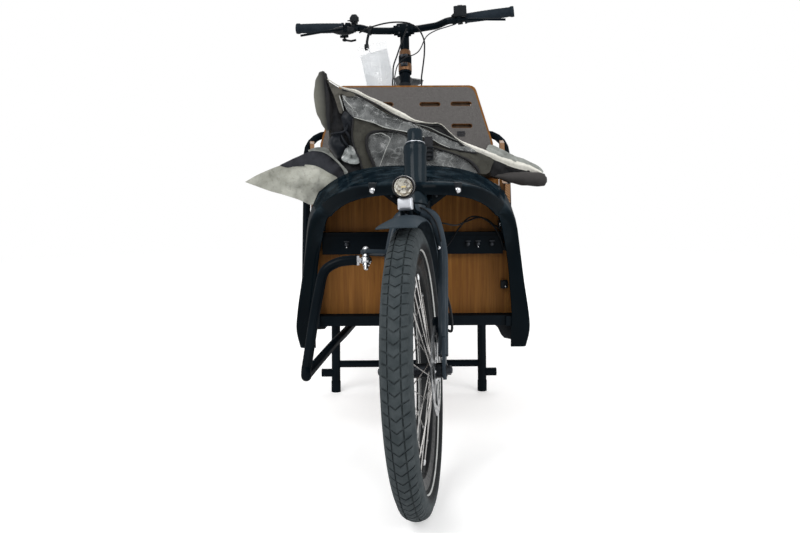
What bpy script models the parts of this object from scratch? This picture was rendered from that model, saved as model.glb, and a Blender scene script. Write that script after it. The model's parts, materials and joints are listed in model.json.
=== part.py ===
"""Electric cargo bike with a wooden box between the wheels, steered through a linkage.

The bike faces -Y and +X is the rider's left. Lengths are metres. Every place below is measured from
the front axle's foot on the ground (y) and from the ground (z); the root empty then moves the whole
bike so that the origin lies on the ground at mid length. What turns with the fork or the handlebar
is modelled straight ahead and hangs on an empty that stands on its steering axis.
"""

import math

import bmesh
import bpy
from mathutils import Matrix, Quaternion, Vector

# Clearances
GAP = 0.0003
RUN = 0.0005

# Steering geometry: two parallel axes, coupled by the tie rod
HEAD_ANGLE = math.radians(70)
REST_STEER = math.radians(-8.65)
FRONT_FOOT_Y = -0.05
REAR_FOOT_Y = 0.998
BALL_SIDE = 0.0925
BALL_AHEAD = 0.0217
REAR_BALL_ALONG = 0.2505
BALL_PIN_R = 0.004
EYE_R = 0.0105
EYE_HALF = 0.0055
ARM_THICK = 0.008

# Wheels
FRONT_R = 0.26
FRONT_TYRE_W = 0.058
FRONT_TYRE_TALL = 0.057
FRONT_SEAT_R = FRONT_R - FRONT_TYRE_TALL
FRONT_HUB_W = 0.100
REAR_R = 0.335
REAR_TYRE_W = 0.050
REAR_TYRE_TALL = 0.0555
REAR_SEAT_R = REAR_R - REAR_TYRE_TALL
REAR_HUB_W = 0.135
RIM_HALF = 0.0155
RIM_WALL = 0.0015
RIM_DEEP = 0.016
FLANGE_H = 0.005
HUB_R = 0.0135
SPOKES = 28
SPOKE_R = 0.001
ROUND_STEPS = 36
AXLE_R = 0.006
ROTOR_THICK = 0.0018
FRONT_ROTOR_R = 0.08
FRONT_ROTOR_X = 0.0372
REAR_ROTOR_R = 0.09
REAR_ROTOR_X = 0.0525

# Mudguards; the rear one starts just behind the seat tube's foot, which sets the wheelbase
FENDER_THICK = 0.002
FENDER_SEAT_DEEP = 0.012
FRONT_FENDER_CLEAR = 0.0165
FORK_FENDER_R = FRONT_R + FRONT_FENDER_CLEAR
FENDER_HALF = 0.031
REAR_FENDER_CLEAR = 0.021
REAR_FENDER_R = REAR_R + REAR_FENDER_CLEAR
REAR_FENDER_HALF = 0.029
REAR_FENDER_FRONT_Y = 1.604
WHEELBASE = REAR_FENDER_FRONT_Y + REAR_FENDER_R

# Fork; the head tube stands above the front wheel
CROWN_R = 0.0125
STEERER_R = 0.014
LEG_R = 0.0095
LEG_X = 0.051
DROPOUT_THICK = 0.006
LEG_SLOPE = 0.6
CALIPER_OUT_X = 0.0480
HEAD_BOTTOM_Z = 2 * FRONT_R + 0.026
HEAD_TALL = 0.115
HEAD_TOP_Z = HEAD_BOTTOM_Z + HEAD_TALL
HEAD_Y = FRONT_FOOT_Y + HEAD_BOTTOM_Z / math.tan(HEAD_ANGLE)
FRONT_BALL_ALONG = HEAD_BOTTOM_Z / math.sin(HEAD_ANGLE) - 0.107

# Lamp
LAMP_R = 0.0195
LAMP_Z = HEAD_BOTTOM_Z + 0.042
LAMP_FRONT_Y = -0.022
LAMP_LONG = 0.046
BRACKET_HALF = 0.0125

# Frame
HEAD_TUBE_R = 0.021
CAP_R = 0.015
CAP_TALL = 0.033
BEAM_R = 0.032
BEAM_Z = 0.304
BEAM_END_Y = 1.36
BEAM_TAIL_R = 0.022
BEAM_TAIL_Z = 0.375
BEAM_TAIL_Y = 1.60
COLUMN_TUBE_R = 0.0225
COLUMN_TUBE_LOW_Z = 0.255
COLUMN_TUBE_TOP_Z = 0.62
POST_R = 0.016
POST_TOP_Z = 0.972
BOTTOM_BAR_TALL = 0.022
BOTTOM_BAR_Y = 0.395
BOTTOM_BAR_DEEP = 0.047
CROSSBAR_THICK = 0.0157

# Cargo box
PLY = 0.012
PANEL_Y = 0.43
PANEL_THICK = 0.010
PANEL_EDGE = (0.2265, HEAD_BOTTOM_Z + 0.054, 0.0)
PANEL_TOP_Z = HEAD_BOTTOM_Z + 0.029
SIDE_FRONT_Y = 0.4412
SIDE_FRONT_X = 0.226
SIDE_SLOPE = 0.0884
SIDE_LOW_Z = 0.300
SIDE_NOTCH_Z = HEAD_BOTTOM_Z - 0.056
SIDE_TOP_Z = HEAD_BOTTOM_Z + 0.034
MID_BAR_LOW_Z = 0.430
MID_BAR_TOP_Z = 0.4785
MID_BAR_DEEP = 0.0195
REAR_TILT = math.radians(16.9)
REAR_TOP_Y = 1.141
REAR_ARCH_HALF = 0.2955
REAR_ARCH_R = 0.011
REAR_ARCH_TOP_Z = 0.720
REAR_ARCH_LOW_Z = 0.265
BACKREST_TOP_Z = REAR_ARCH_TOP_Z + 0.138
BACKREST_HALF = 0.255
CROSSBAR_FRONT_Y = 0.485
CROSSBAR_DEEP = 0.040
BENCH_LOW_Z = 0.552
BENCH_FRONT_Y = 0.86
COVER_FRONT_Y = 0.60
COVER_DEEP = 0.13

# Hood: three superellipse outlines, seen from the front
HOOD_POWER = 2.85
HOOD_SPRING_Z = 0.40
HOOD_LOW_Z = 0.23
HOOD_THICK = 0.004
HOOD_NOSE_Y = HEAD_Y - 0.0137
HOOD_ARM_Y = 0.38
HOOD_REAR_TOP_Y = 0.58
HOOD_REAR_ARM_Y = 0.47
HOOD_INNER = (0.208, HEAD_BOTTOM_Z + 0.023, 0.007)
HOOD_FRONT = (0.240, HEAD_BOTTOM_Z + 0.047, 0.010)
HOOD_REAR = (0.257, HEAD_BOTTOM_Z + 0.080, 0.010)

# Centre stand
STAND_X = 0.204
STAND_PIVOT_Y = 0.93
STAND_PIVOT_Z = 0.285
STAND_FOOT_Y = 0.89
STAND_TUBE_R = 0.012
STAND_PIN_R = 0.005
STAND_EYE_HALF = 0.0095
STAND_FOOT_R = 0.013
STAND_ROD_Z = 0.076
STAND_PEG_Z = 0.052
STAND_PEG_END_X = 0.244

# Drive and rear end
CRANK_Y = 1.52
CRANK_Z = 0.288
CRANK_LONG = 0.170
SPINDLE_R = 0.012
MOTOR_HALF = 0.045
MOTOR_TOP_Z = 0.345
CHAIN_X = 0.056
CHAIN_HALF = 0.003
PITCH = 0.0127
RING_TEETH = 38
COG_TEETH = 20
SEAT_ANGLE = math.radians(68)
SEAT_TUBE_R = 0.017
SEAT_POST_R = 0.0136
SEAT_TUBE_TOP_Z = 0.72
SADDLE_CLAMP = (1.78, 0.902)
SADDLE_UNDER = 0.013
SADDLE_RAIL_R = 0.0035
STAY_R = 0.009
STAY_CORNERS = [
    (0.034, BEAM_TAIL_Y + 0.040, 0.352),
    (0.048, WHEELBASE - 0.200, REAR_R + 0.011),
    (0.076, WHEELBASE - 0.025, REAR_R + 0.001),
]
BATTERY_TALL = 0.068
RACK_Z = REAR_R + REAR_FENDER_R + BATTERY_TALL + 0.016
RACK_HALF = 0.062
RACK_RAIL_R = 0.006
RACK_FRONT_Y = WHEELBASE - 0.195
RACK_REAR_Y = WHEELBASE + 0.160

# Handlebar
BAR_Y = 1.36
BAR_Z = 1.057
BAR_END_X = 0.348
BAR_END_Y = 1.364
BAR_END_Z = 1.088
BAR_R = 0.0111
CLAMP_R = 0.0159
GRIP_LONG = 0.155
GRIP_R = 0.0155
RING_R = 0.017
BAR_BEND = [(0.045, BAR_Y, BAR_Z), (0.105, 1.3600, 1.0620), (0.140, 1.3605, 1.0745)]
LEVER_X = 0.180
LEVER_PIVOT_Y = 1.308
LEVER_PIVOT_Z = 1.066

MID_Y = (WHEELBASE + REAR_FENDER_R + FENDER_THICK - FRONT_R) / 2
UP = Vector((0, math.cos(HEAD_ANGLE), math.sin(HEAD_ANGLE)))
AHEAD = Vector((0, -math.sin(HEAD_ANGLE), math.cos(HEAD_ANGLE)))
ACROSS = Vector((1, 0, 0))
WELD = 1e-6

for old in list(bpy.data.objects):
    bpy.data.objects.remove(old, do_unlink=True)
BIKE = bpy.data.collections.new("electric_cargo_bike")
bpy.context.scene.collection.children.link(BIKE)


def steering_point(foot_y, along, side=0.0, ahead=0.0):
    """A point given by its place along a steering axis and its offsets from it."""
    return Vector((0, foot_y, 0)) + along * UP + side * ACROSS + ahead * AHEAD


def axis_at(foot_y, z):
    """The point of a steering axis at height z."""
    return steering_point(foot_y, z / UP.z)


def turned_to_rest(point, foot_y):
    """Where a point that is modelled straight ahead lies with the steering at rest."""
    foot = Vector((0, foot_y, 0))
    return foot + Quaternion(UP, REST_STEER) @ (Vector(point) - foot)


FRONT_BALL = turned_to_rest(
    steering_point(FRONT_FOOT_Y, FRONT_BALL_ALONG, -BALL_SIDE, BALL_AHEAD), FRONT_FOOT_Y
)
REAR_BALL = turned_to_rest(
    steering_point(REAR_FOOT_Y, REAR_BALL_ALONG, -BALL_SIDE, BALL_AHEAD), REAR_FOOT_Y
)
FRONT_AXLE = Vector((0, 0, FRONT_R))
REAR_AXLE = Vector((0, WHEELBASE, REAR_R))
CRANK = Vector((0, CRANK_Y, CRANK_Z))
SEAT_UP = Vector((0, math.cos(SEAT_ANGLE), math.sin(SEAT_ANGLE)))
PEDAL_LEFT = CRANK + Vector((0, -CRANK_LONG, 0))
PEDAL_RIGHT = CRANK + Vector((0, CRANK_LONG, 0))
LEVER_UP = Vector((0, 0, 1))


def seat_at(z):
    """The point of the seat tube's axis at height z."""
    clamp = Vector((0, *SADDLE_CLAMP))
    return clamp + SEAT_UP * ((z - clamp.z) / SEAT_UP.z)


PIVOTS = {
    "root": Vector((0, 0, 0)),
    "fork": axis_at(FRONT_FOOT_Y, (HEAD_BOTTOM_Z + HEAD_TOP_Z) / 2),
    "front_wheel": FRONT_AXLE,
    "tie_rod": FRONT_BALL,
    "handlebars": axis_at(REAR_FOOT_Y, COLUMN_TUBE_TOP_Z),
    "brake_lever_left": Vector((LEVER_X, LEVER_PIVOT_Y, LEVER_PIVOT_Z)),
    "brake_lever_right": Vector((-LEVER_X, LEVER_PIVOT_Y, LEVER_PIVOT_Z)),
    "shift_lever": Vector((-0.196, 1.378, 1.052)),
    "bell_lever": Vector((-0.158, 1.3385, 1.094)),
    "display_button": Vector((0.183, 1.335, 1.1130)),
    "stand": Vector((0, STAND_PIVOT_Y, STAND_PIVOT_Z)),
    "rear_wheel": REAR_AXLE,
    "crank": CRANK,
    "pedal_left": PEDAL_LEFT,
    "pedal_right": PEDAL_RIGHT,
    "seat": seat_at(SEAT_TUBE_TOP_Z),
}
PARENTS = {
    "fork": "root",
    "front_wheel": "fork",
    "tie_rod": "root",
    "handlebars": "root",
    "brake_lever_left": "handlebars",
    "brake_lever_right": "handlebars",
    "shift_lever": "handlebars",
    "bell_lever": "handlebars",
    "display_button": "handlebars",
    "stand": "root",
    "rear_wheel": "root",
    "crank": "root",
    "pedal_left": "crank",
    "pedal_right": "crank",
    "seat": "root",
}


def make_axes():
    """An empty on the axis of each moving body, and the root empty that puts the origin at mid length."""
    axes = {}
    for name, pivot in PIVOTS.items():
        empty = bpy.data.objects.new(name + "_axis", None)
        BIKE.objects.link(empty)
        empty.rotation_mode = "QUATERNION"
        parent = PARENTS.get(name)
        if parent is None:
            empty.location = (0, -MID_Y, 0)
        else:
            empty.parent = axes[parent]
            empty.location = pivot - PIVOTS[parent]
        if name in ("fork", "handlebars"):
            empty.rotation_quaternion = Quaternion(UP, REST_STEER)
        axes[name] = empty
    return axes


AXES = make_axes()


def material(name, colour, roughness, metallic=0.0, alpha=1.0):
    found = bpy.data.materials.get(name)
    if found:
        return found
    made = bpy.data.materials.new(name)
    made.use_nodes = True
    shader = made.node_tree.nodes["Principled BSDF"]
    shader.inputs["Base Color"].default_value = (*colour, 1)
    shader.inputs["Roughness"].default_value = roughness
    shader.inputs["Metallic"].default_value = metallic
    shader.inputs["Alpha"].default_value = alpha
    return made


def black_paint():
    return material("black_paint", (0.012, 0.014, 0.016), 0.45)


def teal_gloss():
    return material("dark_gloss", (0.012, 0.020, 0.024), 0.12)


def steel():
    return material("steel", (0.60, 0.60, 0.60), 0.30, 1.0)


def rubber():
    return material("rubber", (0.020, 0.020, 0.020), 0.8)


def tyre_rubber():
    return material("tyre", (0.045, 0.045, 0.047), 0.85)


def black_plastic():
    return material("black_plastic", (0.015, 0.015, 0.015), 0.5)


def plywood():
    return material("wood", (0.27, 0.13, 0.055), 0.55)


def canvas():
    return material("canvas", (0.20, 0.19, 0.17), 0.9)


def place(obj, name, finish, body="root"):
    """Gives a finished piece its name, its material and the body that it moves with."""
    obj.name = name
    obj.data.name = name
    obj.data.materials.clear()
    obj.data.materials.append(finish)
    obj.data.shade_smooth()
    obj.data.set_sharp_from_angle(angle=math.radians(35))
    obj.parent = AXES[body]
    obj.matrix_parent_inverse = Matrix.Translation(-PIVOTS[body])
    return obj


def linked(mesh):
    obj = bpy.data.objects.new("piece", mesh)
    BIKE.objects.link(obj)
    return obj


def tidy_mesh(obj, matrix=None):
    """The object's evaluated mesh as a plain mesh object: caps welded, normals outwards."""
    graph = bpy.context.evaluated_depsgraph_get()
    mesh = bpy.data.meshes.new_from_object(obj.evaluated_get(graph))
    shape = bmesh.new()
    shape.from_mesh(mesh)
    if matrix is not None:
        shape.transform(matrix)
    bmesh.ops.remove_doubles(shape, verts=shape.verts, dist=WELD)
    bmesh.ops.recalc_face_normals(shape, faces=shape.faces)
    shape.to_mesh(mesh)
    shape.free()
    bpy.data.objects.remove(obj, do_unlink=True)
    return linked(mesh)


def from_bmesh(shape):
    mesh = bpy.data.meshes.new("piece")
    shape.to_mesh(mesh)
    shape.free()
    return linked(mesh)


def combined(operation, base, others):
    for other in others:
        step = base.modifiers.new(operation.title(), "BOOLEAN")
        step.operation = operation
        step.object = other
    result = tidy_mesh(base)
    for other in others:
        bpy.data.objects.remove(other, do_unlink=True)
    return result


def joined(base, *others):
    return combined("UNION", base, others)


def cut(base, *cutters):
    return combined("DIFFERENCE", base, cutters)


def cylinder(start, end, radius, sides=12, end_radius=None):
    start = Vector(start)
    end = Vector(end)
    run = end - start
    turn = run.to_track_quat("Z", "Y").to_matrix().to_4x4()
    shape = bmesh.new()
    bmesh.ops.create_cone(
        shape,
        cap_ends=True,
        segments=sides,
        radius1=radius,
        radius2=radius if end_radius is None else end_radius,
        depth=run.length,
        matrix=Matrix.Translation((start + end) / 2) @ turn,
    )
    return from_bmesh(shape)


def box(low, high, bevel=0.0):
    low = Vector(low)
    high = Vector(high)
    shape = bmesh.new()
    size = Matrix.Diagonal((*(high - low), 1))
    bmesh.ops.create_cube(shape, size=1, matrix=Matrix.Translation((low + high) / 2) @ size)
    if bevel:
        bmesh.ops.bevel(
            shape, geom=shape.edges[:], offset=bevel, segments=2, profile=0.5, affect="EDGES"
        )
    return from_bmesh(shape)


def tube(points, radius, resolution=2, loop=False):
    """A round bar along the points, made from a curve with a bevel and filled caps."""
    curve = bpy.data.curves.new("tube", "CURVE")
    curve.dimensions = "3D"
    curve.bevel_depth = radius
    curve.bevel_resolution = resolution
    curve.use_fill_caps = True
    spline = curve.splines.new("POLY")
    spline.points.add(len(points) - 1)
    for point, where in zip(spline.points, points):
        point.co = (*where, 1)
    spline.use_cyclic_u = loop
    obj = bpy.data.objects.new("tube", curve)
    BIKE.objects.link(obj)
    return tidy_mesh(obj)


def filleted(corners, radius, steps=3):
    """The corner points joined by straight runs, with an arc of this radius at each corner."""
    corners = [Vector(corner) for corner in corners]
    path = [corners[0]]
    for before, corner, after in zip(corners, corners[1:], corners[2:]):
        back = before - corner
        on = after - corner
        half = back.angle(on) / 2
        if half > math.radians(89):
            path.append(corner)
            continue
        reach = min(radius / math.tan(half), 0.48 * back.length, 0.48 * on.length)
        bend = reach * math.tan(half)
        centre = corner + (back.normalized() + on.normalized()).normalized() * (bend / math.sin(half))
        first = corner + back.normalized() * reach - centre
        last = corner + on.normalized() * reach - centre
        for step in range(steps + 1):
            ray = first.normalized().slerp(last.normalized(), step / steps)
            path.append(centre + ray * bend)
    path.append(corners[-1])
    return path


def smooth_route(points, steps=4):
    """A smooth curve through the route's own points (Catmull-Rom)."""
    points = [Vector(point) for point in points]
    padded = [2 * points[0] - points[1], *points, 2 * points[-1] - points[-2]]
    route = []
    for a, b, c, d in zip(padded, padded[1:], padded[2:], padded[3:]):
        for step in range(steps):
            t = step / steps
            route.append(
                0.5 * (2 * b + (c - a) * t + (2 * a - 5 * b + 4 * c - d) * t**2
                       + (3 * b - a - 3 * c + d) * t**3)
            )
    route.append(points[-1])
    return route


def ring_of(radius, count, centre=(0, 0), start=0.0):
    return [
        (
            centre[0] + radius * math.cos(start + 2 * math.pi * i / count),
            centre[1] + radius * math.sin(start + 2 * math.pi * i / count),
        )
        for i in range(count)
    ]


def capsule(first, first_r, last, last_r, steps=6):
    """The outline round two circles of unlike radius."""
    first = Vector(first)
    last = Vector(last)
    run = last - first
    heading = math.atan2(run.y, run.x)
    lean = math.acos((first_r - last_r) / run.length)
    outline = []
    for i in range(steps + 1):
        angle = heading - lean + 2 * lean * i / steps
        outline.append(last + last_r * Vector((math.cos(angle), math.sin(angle))))
    rest = 2 * math.pi - 2 * lean
    for i in range(steps + 1):
        angle = heading + lean + rest * i / steps
        outline.append(first + first_r * Vector((math.cos(angle), math.sin(angle))))
    return outline


def plate(outlines, thickness, matrix):
    """A flat plate from its outline and its holes, drawn in XY and set in place by a matrix."""
    curve = bpy.data.curves.new("plate", "CURVE")
    curve.dimensions = "2D"
    curve.fill_mode = "BOTH"
    curve.extrude = thickness / 2
    for outline in outlines:
        spline = curve.splines.new("POLY")
        spline.points.add(len(outline) - 1)
        for point, where in zip(spline.points, outline):
            point.co = (where[0], where[1], 0, 1)
        spline.use_cyclic_u = True
    obj = bpy.data.objects.new("plate", curve)
    BIKE.objects.link(obj)
    return tidy_mesh(obj, matrix)


def side_plate(outlines, low_x, high_x):
    """A plate drawn in (y, z) between two places across the bike."""
    turn = Matrix(((0, 0, 1, (low_x + high_x) / 2), (1, 0, 0, 0), (0, 1, 0, 0), (0, 0, 0, 1)))
    return plate(outlines, high_x - low_x, turn)


def front_plate(outlines, low_y, high_y):
    """A plate drawn in (x, z) between two places along the bike."""
    turn = Matrix(((1, 0, 0, 0), (0, 0, -1, (low_y + high_y) / 2), (0, 1, 0, 0), (0, 0, 0, 1)))
    return plate(outlines, high_y - low_y, turn)


def floor_plate(outlines, low_z, high_z):
    """A plate drawn in (x, y) between two heights."""
    return plate(outlines, high_z - low_z, Matrix.Translation((0, 0, (low_z + high_z) / 2)))


def steering_plate(outlines, foot_y, low, high):
    """A plate square to a steering axis, drawn in (side, ahead), between two places along it."""
    middle = steering_point(foot_y, (low + high) / 2)
    turn = Matrix.Identity(4)
    turn.col[0] = (*ACROSS, 0)
    turn.col[1] = (*AHEAD, 0)
    turn.col[2] = (*-UP, 0)
    turn.col[3] = (*middle, 1)
    return plate(outlines, high - low, turn)


def turned_round_x(profile, centre, steps=ROUND_STEPS, closed=True, start=0.0, sweep=None, wall=0.0):
    """Turns a profile of (radius, x) about an axle; a part turn starts at an angle from straight up."""
    mesh = bpy.data.meshes.new("profile")
    count = len(profile)
    edges = [(i, i + 1) for i in range(count - 1)]
    if closed:
        edges.append((count - 1, 0))
    mesh.from_pydata([(radius, 0, x) for radius, x in profile], edges, [])
    obj = linked(mesh)
    screw = obj.modifiers.new("Turn", "SCREW")
    screw.axis = "Z"
    screw.steps = steps
    screw.render_steps = steps
    screw.use_merge_vertices = sweep is None
    screw.merge_threshold = 0.00001
    if sweep is not None:
        screw.angle = sweep
    if wall:
        thick = obj.modifiers.new("Wall", "SOLIDIFY")
        thick.thickness = wall
        thick.offset = 0
    # The profile starts at local +X, which becomes straight up; the turn then runs backwards (+Y).
    to_axle = Matrix(((0, 0, 1, 0), (0, 1, 0, 0), (1, 0, 0, 0), (0, 0, 0, 1)))
    lean = Matrix.Rotation(start, 4, "Z")
    return tidy_mesh(obj, Matrix.Translation(centre) @ to_axle @ lean)


def mirrored(points):
    return [(-point[0], *point[1:]) for point in points]


def tyre(centre, radius, width, seat_r, name, body):
    """A tyre with its tube: bead between the rim's flanges, then the round casing."""
    tall = radius - seat_r
    half = width / 2
    bead = RIM_HALF - RIM_WALL - GAP
    side = [
        (seat_r + GAP, bead),
        (seat_r + FLANGE_H + 0.0012, bead),
        (seat_r + 0.40 * tall, 0.98 * half),
        (seat_r + 0.72 * tall, 0.97 * half),
        (seat_r + 0.94 * tall, 0.54 * half),
        (radius, 0),
    ]
    profile = side + [(r, -x) for r, x in reversed(side[:-1])]
    place(turned_round_x(profile, centre), name, tyre_rubber(), body)


def laced_wheel(centre, seat_r, hub_width, name, body, extras=()):
    """Rim, crossed spokes and hub as one body, with a bore for the axle."""
    rim = [
        (seat_r + FLANGE_H, RIM_HALF),
        (seat_r + FLANGE_H, RIM_HALF - RIM_WALL),
        (seat_r, RIM_HALF - RIM_WALL),
        (seat_r, RIM_WALL - RIM_HALF),
        (seat_r + FLANGE_H, RIM_WALL - RIM_HALF),
        (seat_r + FLANGE_H, -RIM_HALF),
        (seat_r - RIM_DEEP, -0.6 * RIM_HALF),
        (seat_r - RIM_DEEP, 0.6 * RIM_HALF),
    ]
    end = hub_width / 2 - RUN
    flange_x = 0.30 * hub_width
    flange_r = HUB_R + 0.0085
    bore = AXLE_R + RUN
    half = [
        (HUB_R, flange_x - 0.0018),
        (flange_r, flange_x - 0.0018),
        (flange_r, flange_x + 0.0018),
        (HUB_R, flange_x + 0.0018),
        (HUB_R, end),
        (bore, end),
    ]
    hub = half + [(r, -x) for r, x in reversed(half)]
    hub_turn = math.radians(5)
    pieces = [turned_round_x(rim, centre), turned_round_x(hub, centre, steps=12, start=hub_turn)]
    hub_angle = math.radians(49)
    for i in range(SPOKES):
        side = 1 if i % 2 else -1
        trailing = (i // 2) % 2
        rim_angle = 2 * math.pi * i / SPOKES
        from_angle = rim_angle + (hub_angle if trailing else -hub_angle)
        shift = 0.0012 if trailing else -0.0012
        inner_r = flange_r - 0.0025
        outer_r = seat_r - RIM_DEEP + 0.004
        inner_yz = (inner_r * math.sin(from_angle), inner_r * math.cos(from_angle))
        outer_yz = (outer_r * math.sin(rim_angle), outer_r * math.cos(rim_angle))
        start = Vector((side * (flange_x + shift), *inner_yz))
        stop = Vector((side * 0.003, *outer_yz))
        pieces.append(cylinder(centre + start, centre + stop, SPOKE_R, sides=3))
    place(joined(*pieces, *extras), name, steel(), body)


def rotor(centre, radius, x, name, body):
    """A brake disc: a ring on six curved arms, with its bore on the hub."""
    windows = []
    arms = 6
    for arm in range(arms):
        start = 2 * math.pi * arm / arms
        stop = start + 2 * math.pi / arms - 0.30
        inner = [(0.32 * radius, start + (stop - start) * t / 2) for t in range(3)]
        outer = [(0.78 * radius, stop + 0.25 - (stop - start) * t / 2) for t in range(3)]
        windows.append([(r * math.cos(a), r * math.sin(a)) for r, a in inner + outer])
    outline = ring_of(radius, 28)
    bore = ring_of(HUB_R + RUN, 16)
    turn = Matrix(((0, 0, 1, centre.x + x), (1, 0, 0, centre.y), (0, 1, 0, centre.z), (0, 0, 0, 1)))
    place(plate([outline, bore, *windows], ROTOR_THICK, turn), name, steel(), body)


def leg_y(z):
    """The fork leg's centre line, seen from the side, below its upper bend."""
    return 0.010 + (z - FRONT_R - 0.030) * LEG_SLOPE


def fork():
    head_bottom = HEAD_BOTTOM_Z / UP.z
    crown = steering_point(FRONT_FOOT_Y, head_bottom - RUN - CROWN_R)
    head_top = HEAD_TOP_Z / UP.z
    steerer = cylinder(crown, steering_point(FRONT_FOOT_Y, head_top + CAP_TALL - 0.004), STEERER_R)
    cap = cylinder(
        steering_point(FRONT_FOOT_Y, head_top + RUN),
        steering_point(FRONT_FOOT_Y, head_top + CAP_TALL),
        CAP_R,
        sides=24,
    )
    race = cylinder(crown, steering_point(FRONT_FOOT_Y, head_bottom - RUN), 0.019, sides=20)
    pieces = [cap, race]
    bend_z = HEAD_BOTTOM_Z - 0.076
    end_z = FRONT_R + 0.025
    for side in (-1, 1):
        corners = [
            (side * -0.004, crown.y, crown.z),
            (side * 0.034, crown.y - 0.001, crown.z - 0.003),
            (side * LEG_X, leg_y(bend_z), bend_z),
            (side * LEG_X, leg_y(end_z), end_z),
        ]
        pieces.append(tube(filleted(corners, 0.035), LEG_R, 3))
        inner = FRONT_HUB_W / 2
        outer = inner + DROPOUT_THICK
        rises = [(-0.013, -0.014), (0.0, -0.0185), (0.013, -0.014), (0.022, 0.058), (0.002, 0.058)]
        tab = [(y, FRONT_R + rise) for y, rise in rises]
        plate_x = sorted((side * inner, side * outer))
        pieces.append(side_plate([tab], *plate_x))
        nut = sorted((side * (outer - 0.001), side * (outer + 0.009)))
        pieces.append(cylinder((nut[0], 0, FRONT_R), (nut[1], 0, FRONT_R), 0.009, sides=6))
    axle_end = FRONT_HUB_W / 2 + 0.003
    pieces.append(cylinder((-axle_end, 0, FRONT_R), (axle_end, 0, FRONT_R), AXLE_R))

    # Steering arm on the right leg, with the ball's bolt
    arm_low = FRONT_BALL_ALONG + EYE_HALF + RUN
    arm_high = arm_low + ARM_THICK
    arm = capsule((-LEG_X + 0.003, 0.005), 0.013, (-BALL_SIDE, BALL_AHEAD), 0.0105)
    pieces.append(steering_plate([arm], FRONT_FOOT_Y, arm_low, arm_high))
    ball_low = FRONT_BALL_ALONG - EYE_HALF - RUN
    for low, high, radius in (
        (ball_low - 0.005, arm_high, BALL_PIN_R),
        (ball_low - 0.006, ball_low, 0.0075),
        (arm_high - 0.001, arm_high + 0.006, 0.0065),
    ):
        pieces.append(
            cylinder(
                steering_point(FRONT_FOOT_Y, low, -BALL_SIDE, BALL_AHEAD),
                steering_point(FRONT_FOOT_Y, high, -BALL_SIDE, BALL_AHEAD),
                radius,
                sides=12,
            )
        )

    # Tab that carries the fender under the crown, and the caliper's mount behind the left leg
    tab_front = crown.y - 0.006
    tab_low = FRONT_R + math.sqrt(FORK_FENDER_R**2 - crown.y**2)
    pieces.append(box((-0.009, tab_front, tab_low), (0.009, crown.y + 0.006, crown.z)))
    mount_low = (CALIPER_OUT_X + GAP, 0.030, FRONT_R + 0.052)
    pieces.append(box(mount_low, (LEG_X + 0.0045, 0.076, FRONT_R + 0.076)))
    fork_body = cut(joined(steerer, *pieces), front_fender_arc(FENDER_SEAT_DEEP))
    place(fork_body, "fork", black_paint(), "fork")


def front_caliper():
    """The caliper straddles the rotor behind the left leg."""
    low = (FRONT_ROTOR_X - 0.0082, 0.0575, FRONT_R + 0.038)
    block = box(low, (CALIPER_OUT_X, 0.084, FRONT_R + 0.083), 0.003)
    slot_half = ROTOR_THICK / 2 + 0.0012
    slot = cylinder(
        (FRONT_ROTOR_X - slot_half, 0, FRONT_R),
        (FRONT_ROTOR_X + slot_half, 0, FRONT_R),
        FRONT_ROTOR_R + 0.0015,
        sides=28,
    )
    place(cut(block, slot), "front_caliper", black_paint(), "fork")


def fender_arc(axle, radius, half, steps, start, sweep, deep):
    """A mudguard's arched strip; with a depth it cuts the seat, and all below it, of what carries it."""
    middle = radius - deep / 2
    shape = [(middle - 0.0085, half), (middle, 0.45 * half)]
    shape = shape + [(r, -x) for r, x in reversed(shape)]
    wall = FENDER_THICK + (deep + 2 * GAP if deep else 0)
    return turned_round_x(shape, axle, steps, False, math.radians(start), math.radians(sweep), wall)


def front_fender_arc(deep=0.0):
    return fender_arc(FRONT_AXLE, FORK_FENDER_R, FENDER_HALF, 13, -18, 103, deep)


def rear_fender_arc(deep=0.0):
    return fender_arc(REAR_AXLE, REAR_FENDER_R, REAR_FENDER_HALF, 18, -62, 165, deep)


def fenders():
    place(front_fender_arc(), "front_fender", black_paint(), "fork")
    place(rear_fender_arc(), "rear_fender", black_plastic())


def headlight():
    """A round lamp: a bezel with a dished lens, on a bracket from the crown."""
    front = LAMP_FRONT_Y
    back = front + LAMP_LONG
    shell = cylinder((0, front, LAMP_Z), (0, back - 0.012, LAMP_Z), LAMP_R, sides=24)
    rear = cylinder((0, back - 0.0125, LAMP_Z), (0, back, LAMP_Z), LAMP_R, 24, 0.55 * LAMP_R)
    mouth = cylinder((0, front - 0.001, LAMP_Z), (0, front + 0.015, LAMP_Z), LAMP_R - 0.0018, sides=24)
    place(cut(joined(shell, rear), mouth), "headlight_shell", black_plastic(), "fork")
    lens = cylinder(
        (0, front + 0.001, LAMP_Z), (0, front + 0.015 - GAP, LAMP_Z), LAMP_R - 0.0018 - GAP, sides=24
    )
    place(lens, "headlight_lens", material("lens", (0.8, 0.82, 0.82), 0.05), "fork")
    crown = steering_point(FRONT_FOOT_Y, HEAD_BOTTOM_Z / UP.z - RUN - CROWN_R)
    crown_front = crown.y - LEG_R - 3 * GAP
    seat = LAMP_Z - LAMP_R - GAP
    under = FRONT_R + FORK_FENDER_R + FENDER_THICK
    profile = [
        (front + 0.008, seat),
        (back - 0.014, seat),
        (0.040, HEAD_BOTTOM_Z + 0.016),
        (0.044, HEAD_BOTTOM_Z + 0.004),
        (0.060, HEAD_BOTTOM_Z - 0.002),
        (crown_front, crown.z + 0.003),
        (crown_front, crown.z - 0.003),
        (0.058, under),
        (0.030, under),
        (0.018, HEAD_BOTTOM_Z + 0.006),
        (front + 0.008, seat - 0.006),
    ]
    place(side_plate([profile], -BRACKET_HALF, BRACKET_HALF), "lamp_bracket", steel(), "fork")


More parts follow.
